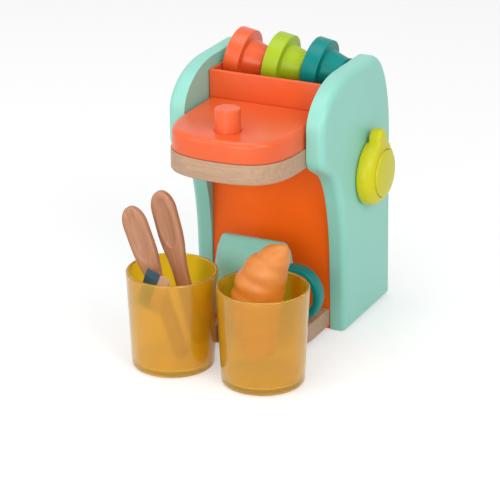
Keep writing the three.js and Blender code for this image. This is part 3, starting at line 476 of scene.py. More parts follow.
def cross_screw(head_radius, shank_radius, length):
    """A screw on the Y axis, its head towards +Y and sitting on the origin."""
    height = 0.7 * head_radius
    blank = lathe(
        "screw",
        [(axis, -length), (0.4 * shank_radius, -length), (shank_radius, 0.8 * shank_radius - length),
         (shank_radius, 0), (head_radius, 0), (head_radius, 0.45 * height),
         (0.88 * head_radius, 0.8 * height), (0.6 * head_radius, height), (axis, height)],
        along_y,
        steps=24,
    )
    arm = 0.6 * head_radius
    half = 0.13 * head_radius
    floor_depth = 0.4 * height
    combine(
        blank,
        "DIFFERENCE",
        block(-arm, arm, floor_depth, height + past, -half, half),
        block(-half, half, floor_depth, height + past, -arm, arm),
    )
    return smooth(blank, 40)


def repeated(name, sample, places, material):
    """Copies of a sample on a list of points, made by geometry nodes and turned into one mesh."""
    points = bpy.data.meshes.new(name)
    points.from_pydata(places, [], [])
    carrier = link_object(name, points)
    tree = bpy.data.node_groups.new(name + "_rule", "GeometryNodeTree")
    kinds = {"Geometry": "Geometry", "Sample": "Object", "Size": "Float", "Finish": "Material"}
    for label, kind in kinds.items():
        tree.interface.new_socket(label, in_out="INPUT", socket_type="NodeSocket" + kind)
    tree.interface.new_socket("Geometry", in_out="OUTPUT", socket_type="NodeSocketGeometry")
    start = tree.nodes.new("NodeGroupInput")
    end = tree.nodes.new("NodeGroupOutput")
    source = tree.nodes.new("GeometryNodeObjectInfo")
    copies = tree.nodes.new("GeometryNodeInstanceOnPoints")
    solid = tree.nodes.new("GeometryNodeRealizeInstances")
    painted = tree.nodes.new("GeometryNodeSetMaterial")
    for giver, output, taker, socket in (
        (start, "Sample", source, "Object"), (start, "Geometry", copies, "Points"),
        (source, "Geometry", copies, "Instance"), (start, "Size", copies, "Scale"),
        (copies, "Instances", solid, "Geometry"), (solid, "Geometry", painted, "Geometry"),
        (start, "Finish", painted, "Material"), (painted, "Geometry", end, "Geometry"),
    ):
        tree.links.new(giver.outputs[output], taker.inputs[socket])
    rule = carrier.modifiers.new("rule", "NODES")
    rule.node_group = tree
    values = {"Sample": sample, "Size": 1.0, "Finish": material}
    for item in tree.interface.items_tree:
        if item.in_out == "INPUT" and item.name in values:
            rule[item.identifier] = values[item.name]
    apply_modifiers(carrier)
    bpy.data.objects.remove(sample)
    return carrier


cover_screws = repeated(
    "cover_screws",
    cross_screw(head_radius=0.003, shank_radius=0.0011, length=0.0095),
    [(x, seat_floor + 0.0001, z) for x, z in screw_places],
    plated_steel,
)
fit(
    cover_screws, "machine", plated_steel,
    "cover_screw_1", "cover_screw_2", "cover_screw_3", "cover_screw_4",
)


# Front wall, underside and battery door: plain satin orange mouldings, as flat as the solids are.
# The wall slides in between the shells, and the other two close the base.
def finish_solids(material, *names):
    """Gives pieces that keep their solids' shapes a material."""
    for name in names:
        nodes[name].data.materials.clear()
        nodes[name].data.materials.append(material)


orange_plastic = moulded_plastic(
    "orange_plastic", (0.99, 0.139, 0.003), 0.4, shade=0.94, gloss_level=0.25
)
finish_solids(orange_plastic, "front_wall", "bottom_cover", "battery_door")


# Wooden plate under the head and cup platform: beech boards with a D-shaped plan, sanded edges
# and a thin satin varnish. The plate has a socket for the spout, a seat for the knob's spring and
# a guide hole for its stem.
head_side = -0.0397
head_front = -0.0954
plate_back = 0.011
plate_low = 0.149
plate_high = 0.1647
fullness = 0.76
spout_y = -0.027
spout_neck = 0.009
neck_length = 0.008
knob_y = -0.069
guide_hole, guide_low = 0.0035, plate_low + 0.002
spring_seat = 0.009
spring_seat_depth = 0.005


def round_front(half, back, side, front, steps=22):
    """Plan with straight sides and a full, rounded front."""
    depth = side - front
    left = [(-half, side), (-half, side - fullness * depth), (-fullness * half, front), (0, front)]
    right = [(0, front), (fullness * half, front), (half, side - fullness * depth), (half, side)]
    return [(-half, back), (-half, side)] + bezier(left, steps) + bezier(right, steps) + [(half, back)]


def stretched(tree, space, amounts):
    """The space with a pattern drawn out along the axes where the amounts are small."""
    made = tree.nodes.new("ShaderNodeMapping")
    preset(made, {"Scale": amounts})
    tree.links.new(space, made.inputs["Vector"])
    return made.outputs["Vector"]


def wood(name, light, dark, stretch, turn=(0, 0, 0), roughness=0.5):
    """Wood with long fine grain, a few darker bands and short flecks; grain runs along local X."""
    material, tree, shader = new_material(name)
    turned = tree.nodes.new("ShaderNodeMapping")
    turned.vector_type = "TEXTURE"
    preset(turned, {"Rotation": turn})
    tree.links.new(object_space(tree), turned.inputs["Vector"])
    grain_space = stretched(tree, turned.outputs["Vector"], stretch)
    fleck_space = stretched(tree, turned.outputs["Vector"], [4 * amount for amount in stretch])
    grain = noise(tree, grain_space, scale=1.6, detail=6, distortion=0.6)
    flecks = noise(tree, fleck_space, scale=2.2)
    bands = two_tones(tree, grain, dark, light, start=0.28, end=0.66)
    spots = spread(tree, flecks, low=0, high=0.4, start=0.56, end=0.72)
    flecked = tree.nodes.new("ShaderNodeMix")
    flecked.data_type = "RGBA"
    preset(flecked, {"B": (*[0.7 * part for part in dark], 1)})
    tree.links.new(spots, flecked.inputs["Factor"])
    tree.links.new(bands, flecked.inputs["A"])
    tree.links.new(flecked.outputs["Result"], shader.inputs["Base Color"])
    gloss = spread(tree, grain, low=roughness + 0.08, high=roughness - 0.06)
    tree.links.new(gloss, shader.inputs["Roughness"])
    relief(tree, shader, flecks, strength=0.25, distance=0.0003)
    return material


beech = wood("beech", (0.50, 0.315, 0.20), (0.41, 0.247, 0.15), stretch=(9, 260, 260))
plate_outline = round_front(bay_half, plate_back, head_side, head_front)
head_plate = rounded_slab(
    "head_board", plate_outline, along_z, plate_low, plate_high,
    low_round=0.0014, high_round=0.0008, steps=4,
)
combine(
    head_plate,
    "DIFFERENCE",
    drum(spout_neck + fit_gap, plate_low - past, plate_low + neck_length, (0, spout_y), along_z),
    drum(guide_hole, guide_low, plate_high + past, (0, knob_y), along_z),
    drum(spring_seat, plate_high - spring_seat_depth, plate_high + past, (0, knob_y), along_z),
)
fit(smooth(head_plate), "machine", beech, "head_plate")

platform_back, platform_side, platform_front = 0.0067, -0.020, -0.061
platform_top = 0.018
tray_half = 0.033
tray_front, tray_back = -0.047, -0.005
tray_corner = 0.006
tray_depth = 0.003


def rounded_rectangle(x0, x1, y0, y1, radius, steps=8):
    """Points round a rectangle with round corners, from its right front corner on."""
    points = []
    for cx, cy, start in ((x1, y0, 270), (x1, y1, 0), (x0, y1, 90), (x0, y0, 180)):
        inner_x = cx - radius if cx == x1 else cx + radius
        inner_y = cy - radius if cy == y1 else cy + radius
        points += arc((inner_x, inner_y), radius, radius, start, start + 90, steps)
    return points


def tray_plan(inset, radius):
    """The tray's outline, drawn in by an inset or, where that is below zero, let out."""
    return rounded_rectangle(
        inset - tray_half, tray_half - inset, tray_front + inset, tray_back - inset, radius
    )


platform_outline = round_front(bay_half, platform_back, platform_side, platform_front)
platform = rounded_slab(
    "cup_board", platform_outline, along_z, base_top, platform_top,
    low_round=0.0008, high_round=0.0014, steps=4,
)
recess = rounded_slab(
    "recess", tray_plan(-fit_gap, tray_corner + fit_gap), along_z,
    platform_top - tray_depth - fit_gap, platform_top + 0.002,
)
combine(platform, "DIFFERENCE", recess)
fit(smooth(platform), "machine", beech, "cup_platform")


# Drip grille: an orange-red tray let into the platform, with a raised rim and seven round-topped
# bars that geometry nodes lay side by side.
coral_plastic = moulded_plastic(
    "coral_plastic", (0.81, 0.114, 0.023), 0.32, shade=0.9, coat=0.1, gloss_level=0.4
)
tray_floor = platform_top - 0.0016
rim_width = 0.0025
bar_half = 0.0021
bar_pitch = 0.0084
bar_count = 7
grille = rounded_slab(
    "grille_tray", tray_plan(0, tray_corner), along_z,
    platform_top - tray_depth, platform_top, high_round=slight_edge,
)
tray_room = rounded_slab(
    "room", tray_plan(rim_width, 0.004), along_z, tray_floor, platform_top + 0.002
)
combine(grille, "DIFFERENCE", tray_room)
fit(smooth(grille), "machine", coral_plastic, "drip_grille")
bar_outline = rounded_rectangle(
    -bar_half, bar_half, tray_front + rim_width + 0.0002, tray_back - rim_width - 0.0002, 0.002
)
bar = rounded_slab("bar", bar_outline, along_z, tray_floor, platform_top, high_round=0.0008)
bar_places = [((i - bar_count // 2) * bar_pitch, 0, 0) for i in range(bar_count)]
grille_bars = repeated("grille_bars", smooth(bar), bar_places, coral_plastic)
fit(grille_bars, "machine", coral_plastic)


# Head cover: a glossy orange-red lid on the wooden plate, 2.5 mm thick, with soft upper edges and
# a round hole for the knob.
cover_low = 0.165
cover_top = 0.1815
cover_wall = 0.0025
cover_edge = 0.0046
cover_back = 0.0007
cover_inset = 0.001
knob_radius = 0.0100
knob_clearance = 0.0004
cover_outline = round_front(
    bay_half - cover_inset, cover_back, head_side, head_front + cover_inset, steps=28
)
head_cover = rounded_slab(
    "head_lid", cover_outline, along_z, cover_low, cover_top, slight_edge, cover_edge, steps=10
)
lid_room = rounded_slab(
    "room", drawn_in(cover_outline, cover_wall), along_z,
    cover_low - past, cover_top - cover_wall, high_round=0.0025,
)
knob_hole = drum(
    knob_radius + knob_clearance, cover_top - 0.006, cover_top + past, (0, knob_y), along_z, 64
)
combine(head_cover, "DIFFERENCE", lid_room, knob_hole)
fit(smooth(head_cover), "machine", coral_plastic, "head_cover")


# Brew knob: a round push knob with a soft top edge and a shallow dish, and below the cover a
# flange that stops it and a stem that guides it. A steel coil spring round the stem pushes it up.
def soften(profile, radius, steps=4):
    """Rounds the corners of a (radius, depth) profile that are off the axis."""
    points = [profile[0]]
    for before, corner, after in zip(profile, profile[1:], profile[2:]):
        here = Vector(corner)
        back = Vector(before) - here
        ahead = Vector(after) - here
        cut = min(radius, 0.45 * back.length, 0.45 * ahead.length)
        start = here + back.normalized() * cut
        end = here + ahead.normalized() * cut
        points.append(tuple(start))
        points += bezier([start, here, end], steps)
    return points + [profile[-1]]


knob_top = 0.1991
stem_low = 0.157
stem_radius = 0.003
flange_radius = 0.0124
flange_low, flange_high = 0.1757, 0.1787
hidden_profile = [
    (axis, stem_low), (stem_radius, stem_low), (stem_radius, flange_low),
    (flange_radius, flange_low), (flange_radius, flange_high),
]
button_profile = [
    (flange_radius, flange_high), (knob_radius, flange_high), (knob_radius - 0.0003, knob_top),
    (0.0062, knob_top), (0.0055, knob_top - 0.0004), (axis, knob_top - 0.0006),
]
knob_profile = soften(hidden_profile, 0.0003) + soften(button_profile, 0.0014)[1:]
knob = lathe("push_knob", knob_profile, along_z, (0, knob_y), 72)
fit(smooth(knob), "knob", coral_plastic, "brew_knob")

spring_low = 0.160
spring_high = 0.1755
spring_radius = 0.007
spring_wire = 0.0006
spring_turns = 5


def coil_spring(name, centre, radius, wire, low, high, turns, sides=10):
    """A compression spring about Z whose end turns lie flat; wire is the wire's radius."""
    rings = []
    flat = 0.6
    steps = 36 * turns
    for i in range(steps + 1):
        turned = turns * i / steps
        angle = 2 * math.pi * turned
        climb = min(1, max(0, (turned - flat) / (turns - 2 * flat)))
        radial = Vector((math.cos(angle), math.sin(angle), 0))
        height = low + wire + (high - low - 2 * wire) * climb
        middle = Vector((*centre, height)) + radial * radius
        ring = []
        for across, up in arc((0, 0), wire, wire, 0, 360 - 360 / sides, sides - 1):
            ring.append(middle + radial * across + Vector((0, 0, up)))
        rings.append(ring)
    return skin(name, rings)


spring = coil_spring(
    "return_spring", (0, knob_y), spring_radius, spring_wire, spring_low, spring_high, spring_turns
)
fit(smooth(spring, 60), "machine", plated_steel, "knob_spring")
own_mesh(spring)


# Brew spout: an orange-red moulding under the plate, whose round neck plugs into the plate's
# socket, with two short nozzles that are bored from below.
spout_top = plate_low - fit_gap
spout_half, spout_depth_half = 0.016, 0.008
spout_corner, spout_thickness, neck_root = 0.007, 0.009, 0.004
nozzle_x = 0.0085
nozzle_low, nozzle_high = spout_top - 0.017, spout_top - 0.008
nozzle_tip, nozzle_root = 0.0036, 0.005
nozzle_bore, bore_depth = 0.0024, 0.006
spout_plan = rounded_rectangle(
    -spout_half, spout_half, spout_y - spout_depth_half, spout_y + spout_depth_half, spout_corner, 10
)
spout = rounded_slab(
    "spout", spout_plan, along_z, spout_top - spout_thickness, spout_top,
    low_round=0.002, high_round=slight_edge,
)
neck = drum(spout_neck, spout_top - neck_root, spout_top + neck_length, (0, spout_y), along_z)
combine(spout, "UNION", neck)
nozzle_profile = [
    (axis, nozzle_low), (nozzle_tip, nozzle_low), (nozzle_root, nozzle_high), (axis, nozzle_high),
]
for x in (-nozzle_x, nozzle_x):
    place = (x, spout_y)
    nozzle = lathe("nozzle", soften(nozzle_profile, slight_edge), along_z, place, 40)
    combine(spout, "UNION", nozzle)
    bore = drum(nozzle_bore, nozzle_low - past, nozzle_low + bore_depth, place, along_z)
    combine(spout, "DIFFERENCE", bore)
fit(smooth(spout), "machine", coral_plastic, "brew_spout")


# Pod rack: a glossy orange-red trough between the shells, with rounded rims, a notched rib under
# the narrow part of each pod, and an apron that closes the machine down to the head cover.
rack_front = 0.001
rack_top = 0.2023
rack_floor = 0.1797
trough_half = 0.0478
rib_from_rim = 0.020
rib_half = 0.0015
rib_reach = 0.013
rib_height = 0.0085
rib_notch = 0.0154
pod_tilt = math.radians(10)
pod_x, pod_y, pod_z = -0.0133, 0.0395, 0.2046
pod_pitch = 0.0328
pod_length = 0.028
pod_places = [Vector((pod_x + i * pod_pitch, pod_y, pod_z)) for i in (-1, 0, 1)]


def tilted(piece, place):
    """Turns a piece made along X from the origin onto a pod's axis and moves it to its place."""
    piece.data.transform(Matrix.Translation(place) @ Matrix.Rotation(pod_tilt, 4, "Y"))
    return piece


rack_plan = rounded_rectangle(-bay_half, bay_half, rack_front, rack_back, 0.0012, 4)
rack = rounded_slab(
    "rack", rack_plan, along_z, rack_floor - cover_wall, rack_top, high_round=0.0009, steps=4
)
trough_plan = rounded_rectangle(
    -trough_half, trough_half, rack_front + cover_wall, rack_back - cover_wall, 0.0015, 4
)
trough = rounded_slab("trough", trough_plan, along_z, rack_floor, rack_top + past)
combine(rack, "DIFFERENCE", trough)
for place in pod_places:
    rib_x = place.x + rib_from_rim * math.cos(pod_tilt)
    rib = block(
        rib_x - rib_half, rib_x + rib_half, pod_y - rib_reach, pod_y + rib_reach,
        rack_floor - past, rack_floor + rib_height,
    )
    notch = tilted(drum(rib_notch, 0.012, pod_length, (0, 0), along_x, 64), place)
    combine(rib, "DIFFERENCE", notch)
    combine(rack, "UNION", rib)
apron = block(-bay_half, bay_half, rack_front, rack_front + cover_wall, cover_low, rack_floor)
combine(rack, "UNION", apron)
fit(smooth(rack), "machine", coral_plastic, "pod_rack")


# Play pods: three glossy cups lying on their sides, one orange-red, one green and one teal, each
# with a broad rim, a tapering body and a pale lid pressed into its open end.
green_plastic = moulded_plastic("green_plastic", (0.39, 0.55, 0.015), 0.32, gloss_level=0.25)
teal_plastic = moulded_plastic("teal_plastic", (0.001, 0.235, 0.215), 0.32, gloss_level=0.2)
lid_plastic = moulded_plastic("lid_plastic", (0.815, 0.761, 0.645), 0.5)
pod_radius = 0.0227
pod_flange = 0.013
pod_shoulder, pod_end = 0.0162, 0.0128
lid_seat = 0.0203
lid_radius = 0.0199
pod_floor = pod_length - 0.0022
pod_dish = pod_length - 0.0012
pod_profile = [
    (axis, pod_floor), (0.0105, pod_floor), (0.0138, 0.003), (lid_seat, 0.003), (lid_seat, 0),
    (pod_radius, 0.0002), (pod_radius, pod_flange), (pod_shoulder, pod_flange),
    (pod_end, pod_length), (0.0100, pod_length), (0.0092, pod_dish), (axis, pod_dish),
]
lid_profile = [
    (axis, 0.0005), (0.0172, 0.0005), (0.0178, 0.0008), (lid_radius, 0.0008),
    (lid_radius, 0.0027), (axis, 0.0027),
]
pod_colours = (("coral", coral_plastic), ("green", green_plastic), ("teal", teal_plastic))
for place, (colour_name, plastic) in zip(pod_places, pod_colours):
    cup = tilted(lathe("pod_" + colour_name, soften(pod_profile, 0.0011), along_x, steps=80), place)
    lid = tilted(lathe("lid_" + colour_name, soften(lid_profile, 0.0003), along_x, steps=64), place)
    fit(smooth(cup), colour_name + "_pod", plastic, "pod_" + colour_name + "_cup")
    fit(smooth(lid), colour_name + "_pod", lid_plastic, "pod_" + colour_name + "_lid")


# Side dial: a thick lime knob with one broad finger tab, all its edges full and soft, and a domed
# round cap in a groove. It turns on a shaft in the right shell.
dial_y = 0.045
dial_z = 0.1225
dial_back = shell_outside + fit_gap
dial_face = dial_back + 0.0137
dial_radius = 0.0262
dial_centre = (dial_y, dial_z)
lime_plastic = moulded_plastic(
    "lime_plastic", (0.62, 0.575, 0.008), 0.34, shade=0.95, gloss_level=0.3
)
dial_profile = [
    (axis, dial_back), (dial_radius - 0.001, dial_back), (dial_radius, dial_back + 0.0015),
    (dial_radius, dial_back + 0.0075), (dial_radius - 0.0045, dial_face), (axis, dial_face),
]
dial = lathe("dial_body", soften(dial_profile, 0.005, 8), along_x, dial_centre, 96)
tab_reach = 0.0356
tab_half = 0.0074
tab_tip = tab_reach - tab_half
fillet = [(0.0145, 0.0205), (tab_half + 0.0006, 0.0241), (tab_half, tab_tip)]
tab_outline = [(-0.0145, 0.010), (0.0145, 0.010), fillet[0]] + bezier(fillet, 6)
tab_outline += arc((0, tab_tip), tab_half, tab_half, 8, 172, 16)
tab_outline += bezier([(-u, v) for u, v in fillet[::-1]], 6)
tab_outline = [(dial_y + u, dial_z + v) for u, v in tab_outline]
tab = rounded_slab(
    "tab", tab_outline, along_x, dial_back + 0.0025, dial_face - 0.0006,
    low_round=0.002, high_round=0.0032, steps=6,
)
combine(dial, "UNION", tab)


def melted(piece, voxel, rounds):
    """Runs the piece's parts together and wears its edges round, as one moulding has them."""
    remesh = piece.modifiers.new("even", "REMESH")
    remesh.mode = "VOXEL"
    remesh.voxel_size = voxel
    melt = piece.modifiers.new("melt", "SMOOTH")
    melt.factor = 0.5
    melt.iterations = rounds
    return apply_modifiers(piece)


cap_radius, cap_dome = 0.0186, 0.0020
cap_seat, cap_seat_depth = 0.0191, 0.0018
shaft_socket, socket_end, screw_pocket = 0.0042, dial_back + 0.006, dial_back + 0.007
dial_screw_hole = 0.0018
combine(
    melted(dial, voxel=0.0005, rounds=14),
    "DIFFERENCE",
    drum(cap_seat, dial_face - cap_seat_depth, dial_face + 0.002, dial_centre, along_x, 80),
    drum(shaft_socket, dial_back - past, socket_end, dial_centre, along_x),
    drum(shaft_socket, screw_pocket, dial_face + past, dial_centre, along_x),
    drum(dial_screw_hole, dial_back, dial_face, dial_centre, along_x),
)
fit(smooth(dial, 40), "dial", lime_plastic, "side_dial")
cap_low = dial_face - 0.0015
cap_shoulder = dial_face + 0.0009
cap_profile = [(axis, cap_low), (cap_radius, cap_low)]
cap_profile += arc((0, cap_shoulder), cap_radius, cap_dome, 0, 90, 16)[:-1]
cap_profile += [(axis, cap_shoulder + cap_dome)]
cap = lathe("dial_middle", cap_profile, along_x, dial_centre, 96)
fit(smooth(cap, 50), "dial", lime_plastic, "dial_cap")


# Works behind the dial and in the base: white nylon, black plastic, plated steel, a green board
# and rubber pads. They keep the solids' shapes.
nylon = moulded_plastic("nylon", (0.86, 0.85, 0.79), 0.5)
black_plastic = moulded_plastic(
    "black_plastic", (0.023, 0.025, 0.028), 0.55, shade=0.8, grain=0.12
)
board_green = moulded_plastic("board_green", (0.028, 0.195, 0.069), 0.45, shade=0.75)
soft_rubber = moulded_plastic("soft_rubber", (0.042, 0.042, 0.045), 0.8, shade=0.85, grain=0.2)
finish_solids(nylon, "dial_shaft", "click_wheel", "mechanism_bracket")
finish_solids(
    plated_steel,
    "click_spring", "dial_screw", "bracket_screw_1", "bracket_screw_2", "door_screw", "battery_1",
    "battery_2", "battery_contact_left", "battery_contact_right",
)
finish_solids(board_green, "circuit_board")
finish_solids(black_plastic, "sound_switch", "sound_chip", "speaker", "battery_box")
finish_solids(soft_rubber, "rubber_pad_1", "rubber_pad_2", "rubber_pad_3", "rubber_pad_4")


# Tumblers: two slightly cloudy, see-through amber cups, thin walled and a little wider at the top,
# with a polished rim and a shallow ring under the foot.
left_mug_x, right_mug_x = -0.0325, 0.043
mug_y = -0.0995
mug_profile = [
    (axis, 0.001), (0.0265, 0.001), (0.028, 0), (0.0305, 0), (0.0315, 0.0014), (0.035, 0.0751),
    (0.0342, 0.076), (0.033, 0.076), (0.0324, 0.0751), (0.0291, 0.006), (0.0269, 0.004),
    (axis, 0.004),
]
amber, tree, shader = new_material("amber")
preset(shader, {"Base Color": (0.95, 0.6, 0.02, 1), "Transmission Weight": 0.78, "IOR": 1.45})
preset(shader, {"Coat Weight": 0.4, "Coat Roughness": 0.03})
flow = noise(tree, object_space(tree), scale=35)
tree.links.new(spread(tree, flow, low=0.15, high=0.25), shader.inputs["Roughness"])
for name, node, x in (
    ("left_tumbler", "mug_left", left_mug_x), ("right_tumbler", "mug_right", right_mug_x)
):
    mug = lathe(name, soften(mug_profile, 0.0007, 3), along_z, (x, mug_y), 96)
    fit(smooth(mug, 60), name, amber, node)


# Spoons: two flat sticks of warm brown wood with a long round-ended bowl above a narrower handle,
# sanded edges and a shallow scoop. They lean to the left in the left tumbler.
spoon_length = 0.124
spoon_half = 0.0032
bowl_half = 0.010
bowl_length, bowl_end = 0.052, 0.015
handle_half = 0.0058
scoop_half, scoop_depth, scoop_reach = 0.0072, 0.003, 0.021


def spoon_outline():
    """The spoon's outline, flat and upright, from the foot of its handle round its bowl."""
    shoulder = spoon_length - bowl_length
    points = arc((0, handle_half), handle_half, handle_half, 180, 360, 16)
    right = [
        (handle_half, shoulder - 0.018), (handle_half, shoulder),
        (bowl_half, shoulder + 0.004), (bowl_half, shoulder + 0.022),
    ]
    points += [right[0]] + bezier(right, 12)
    points += arc((0, spoon_length - bowl_end), bowl_half, bowl_end, 0, 180, 28)
    left = [(-u, v) for u, v in right[::-1]]
    return points + [left[0]] + bezier(left, 12)


def spoon(name, foot, lean):
    """A spoon with its scoop in front, leaning by an angle in degrees from its foot."""
    blank = rounded_slab(
        name, spoon_outline(), along_y, -spoon_half, spoon_half, low_round=0.0018, high_round=0.0018
    )
    scoop = lathe("scoop", arc((0, 0), 1, 1, -89.9, 89.9, 20), along_z, steps=40)
    scoop_place = Matrix.Translation((0, -spoon_half - 0.0009, spoon_length - 0.025))
    scoop_size = Matrix.Diagonal((scoop_half, scoop_depth, scoop_reach, 1))
    scoop.data.transform(scoop_place @ scoop_size)
    combine(blank, "DIFFERENCE", scoop)
    blank.data.transform(Matrix.Translation(foot) @ Matrix.Rotation(math.radians(lean), 4, "Y"))
    return smooth(blank)


for side, foot, lean in (
    ("front", (-0.0231, mug_y - 0.002, 0.0057), -20.7),
    ("back", (-0.0171, mug_y + 0.014, 0.0119), -15.2),
):
    grain_turn = (0, math.radians(lean + 90), 0)
    stick_wood = wood(
        side + "_stick_wood", (0.50, 0.235, 0.13), (0.37, 0.16, 0.082),
        stretch=(7, 210, 210), turn=grain_turn, roughness=0.48,
    )
    stick = spoon(side + "_stick", foot, lean)
    fit(stick, side + "_spoon", stick_wood, "spoon_" + side)


# Play pastry: a curled, rolled croissant of moulded plastic, painted darker on its ridges. It is
# built up of one flattened ball for each turn: (sideways, height, half width).
dough_turns = [
    (-0.004, 0.026, 0.015), (-0.0055, 0.039, 0.018), (-0.006, 0.052, 0.0196), (-0.0053, 0.064, 0.0204),
    (-0.0026, 0.075, 0.0198), (0.0018, 0.086, 0.0174), (0.0076, 0.0955, 0.0128),
    (0.0128, 0.1022, 0.0082), (0.0166, 0.1066, 0.0042),
]
ridge_reach = 0.007
first_thickness, thicker_each, thickest = 0.0105, 0.0014, 0.016
depth_of_width = 0.88
dough = bpy.data.meshes.new("pastry")
dough_work = bmesh.new()
for i, (x, z, girth) in enumerate(dough_turns):
    ahead = Vector(dough_turns[min(i + 1, len(dough_turns) - 1)][:2])
    behind = Vector(dough_turns[max(i - 1, 0)][:2])
    along = ahead - behind
    lean = Matrix.Rotation(math.atan2(along.x, along.y), 4, "Y")
    thickness = min(first_thickness + thicker_each * i, thickest, 1.2 * girth)
    size = Matrix.Diagonal((girth, depth_of_width * girth, thickness, 1))
    place = Matrix.Translation((right_mug_x + x, mug_y, z))
    bmesh.ops.create_icosphere(dough_work, subdivisions=4, radius=1, matrix=place @ lean @ size)
dough_work.to_mesh(dough)
dough_work.free()
pastry = link_object("pastry_roll", dough)
melted(pastry, voxel=0.0009, rounds=34)
baked = pastry.data.attributes.new("baked", "FLOAT", "POINT")
for i, corner in enumerate(pastry.data.vertices):
    from_ridge = min(abs(corner.co.z - z) for x, z, girth in dough_turns)
    baked.data[i].value = max(0, 1 - from_ridge / ridge_reach)
crust, tree, shader = new_material("crust")
ridge = tree.nodes.new("ShaderNodeAttribute")
ridge.attribute_name = "baked"
patches = noise(tree, object_space(tree), scale=60, detail=4)
depth = tree.nodes.new("ShaderNodeMath")
depth.operation = "MULTIPLY_ADD"
depth.inputs[1].default_value = 0.5
tree.links.new(ridge.outputs["Fac"], depth.inputs[0])
tree.links.new(patches, depth.inputs[2])
pale_crust, brown_crust = (0.71, 0.27, 0.055), (0.62, 0.19, 0.025)
tint = two_tones(tree, depth.outputs[0], pale_crust, brown_crust, start=0.35, end=1.0)
tree.links.new(tint, shader.inputs["Base Color"])
preset(shader, {"Roughness": 0.42})
relief(tree, shader, patches, strength=0.3, distance=0.0005)
pastry.data.shade_smooth()
fit(pastry, "pastry", crust, "croissant")


# Jug: a mint moulding with rounded corners that draws in to a closed ridge on top. A base plate
# is pressed into its open underside, and a flat teal strap handle loops out on the right.
jug_y = -0.024
jug_low = platform_top + fit_gap
jug_high = 0.080
jug_wall = 0.0024
jug_side = 0.030
room_top = 0.074
mouth_half_x, mouth_half_y = 0.0276, 0.0136


def square_ring(half_x, half_y, z, count=72):
    """A ring of points round a rectangle with very round corners."""
    ring = []
    for i in range(count):
        angle = 2 * math.pi * i / count
        c, s = math.cos(angle), math.sin(angle)
        dx = half_x * math.copysign(abs(c) ** 0.5, c)
        dy = half_y * math.copysign(abs(s) ** 0.5, s)
        ring.append((dx, jug_y + dy, z))
    return ring


def jug_form(name, inset, low, high):
    """The jug's form drawn in by an inset: (half width, half depth, height) from the bottom up."""
    foot = [(0.0290, 0.0150, low), (0.0297, 0.0157, low + 0.0008), (jug_side, 0.016, low + 0.002)]
    shoulder = [(jug_side, 0.0156, 0.057), (jug_side, 0.0155, 0.0595), (0.0298, 0.0147, 0.062)]
    neck = [(0.0292, 0.0118, 0.0697), (0.029, 0.011, 0.0715), (0.0285, 0.0096, 0.0732)]
    ridge = [(0.0277, 0.0054, 0.0772), (0.027, 0.0038, 0.0786), (0.026, 0.0024, 0.0796)]
    top = [(0.025, 0.0012, 0.080)]
    levels = foot + [level for level in shoulder + neck + ridge + top if level[2] <= high]
    return skin(name, [square_ring(x - inset, max(y - inset, 0.001), z) for x, y, z in levels])


jug = jug_form("milk_pot", 0, jug_low, jug_high)
mouth_plan = [(x, y) for x, y, z in square_ring(mouth_half_x, mouth_half_y, 0)]
mouth = rounded_slab("mouth", mouth_plan, along_z, jug_low - 0.0013, jug_low + 0.0025)
combine(jug, "DIFFERENCE", jug_form("room", jug_wall, jug_low, room_top), mouth)
fit(smooth(jug, 45), "jug", mint_plastic, "jug_body")
finish_solids(mint_plastic, "jug_base")
handle_path = [
    (-0.0006, 0.0589), (0.006, 0.0602), (0.015, 0.0574), (0.022, 0.050), (0.0247, 0.0405),
    (0.022, 0.0302), (0.015, 0.0236), (0.006, 0.0222), (-0.0006, 0.0226),
]


def through(points, steps=8):
    """A smooth curve through the points."""
    padded = [points[0]] + points + [points[-1]]
    path = []
    for a, b, c, d in zip(padded, padded[1:], padded[2:], padded[3:]):
        a, b, c, d = Vector(a), Vector(b), Vector(c), Vector(d)
        slope = c - a
        bend = 2 * a - 5 * b + 4 * c - d
        twist = 3 * b - a - 3 * c + d
        for i in range(steps):
            t = i / steps
            path.append(0.5 * (2 * b + slope * t + bend * t**2 + twist * t**3))
    return path + [Vector(points[-1])]


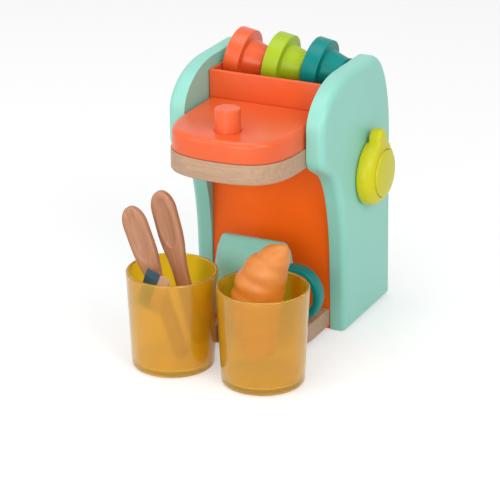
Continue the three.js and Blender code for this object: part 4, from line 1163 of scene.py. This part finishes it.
strap_half, strap_thick = 0.006, 0.003
strap = rounded_rectangle(-strap_half, strap_half, -strap_thick, strap_thick, 0.0024, 5)
centre_line = through(handle_path)
handle_rings = []
for i, here in enumerate(centre_line):
    ahead = centre_line[min(i + 1, len(centre_line) - 1)]
    behind = centre_line[max(i - 1, 0)]
    along = (ahead - behind).normalized()
    outward = Vector((along.y, -along.x))
    ring = []
    for dy, thick in strap:
        spot = here + outward * thick
        ring.append((jug_side + spot.x, jug_y + dy, spot.y))
    handle_rings.append(ring)
handle = skin("pot_handle", handle_rings)
fit(smooth(handle, 50), "jug", teal_plastic, "jug_handle")


# Sachet: a small puffed packet of coated film, dark blue with a sand-coloured panel down one side,
# heat sealed across both ends in fine ridges. It leans in the left tumbler against its front wall.
packet_half = 0.010
packet_length = 0.032
packet_seal = 0.004
packet_slope = 0.008
packet_belly = 0.0015
packet_rows = 128
film_half = 0.0005
ridge_height, ridge_pitch = 0.00016, 0.001
packet_foot = (-0.0473, mug_y - 0.0143, 0.0461)
packet_lean = math.radians(20)


def packet_ring(height, columns=40):
    """A closed loop round the packet at one height, its two faces puffed apart."""
    from_seal = max(0, min(height, packet_length - height) - packet_seal)
    puffed = math.sin(min(1, from_seal / packet_slope) * math.pi / 2)
    wave = 0
    if from_seal == 0:
        wave = ridge_height * math.cos(height * 2 * math.pi / ridge_pitch)
    front = []
    back = []
    for i in range(columns + 1):
        across = 2 * i / columns - 1
        belly = film_half + packet_belly * puffed * (1 - across**4)
        front.append((across * packet_half, wave - belly, height))
        back.append((across * packet_half, wave + belly, height))
    return front + back[::-1]


packet_rings = [packet_ring(packet_length * i / packet_rows) for i in range(packet_rows + 1)]
packet = skin("packet", packet_rings)
printed = packet.data.attributes.new("printed", "FLOAT", "POINT")
for i, corner in enumerate(packet.data.vertices):
    printed.data[i].value = 0.5 + 0.5 * corner.co.x / packet_half
packet.data.transform(Matrix.Translation(packet_foot) @ Matrix.Rotation(packet_lean, 4, "Y"))
film = moulded_plastic("film", None, 0.32, grain=0.3, coat=0.3)
dark_blue, sand = (0.004, 0.062, 0.112), (0.56, 0.33, 0.24)
tree = film.node_tree
across = tree.nodes.new("ShaderNodeAttribute")
across.attribute_name = "printed"
panels = two_tones(
    tree, across.outputs["Fac"], dark_blue, sand, start=0, end=0.58, change="CONSTANT"
)
tree.links.new(panels, tree.nodes["Principled BSDF"].inputs["Base Color"])
fit(smooth(packet, 50), "sachet", film, "sugar_sachet")
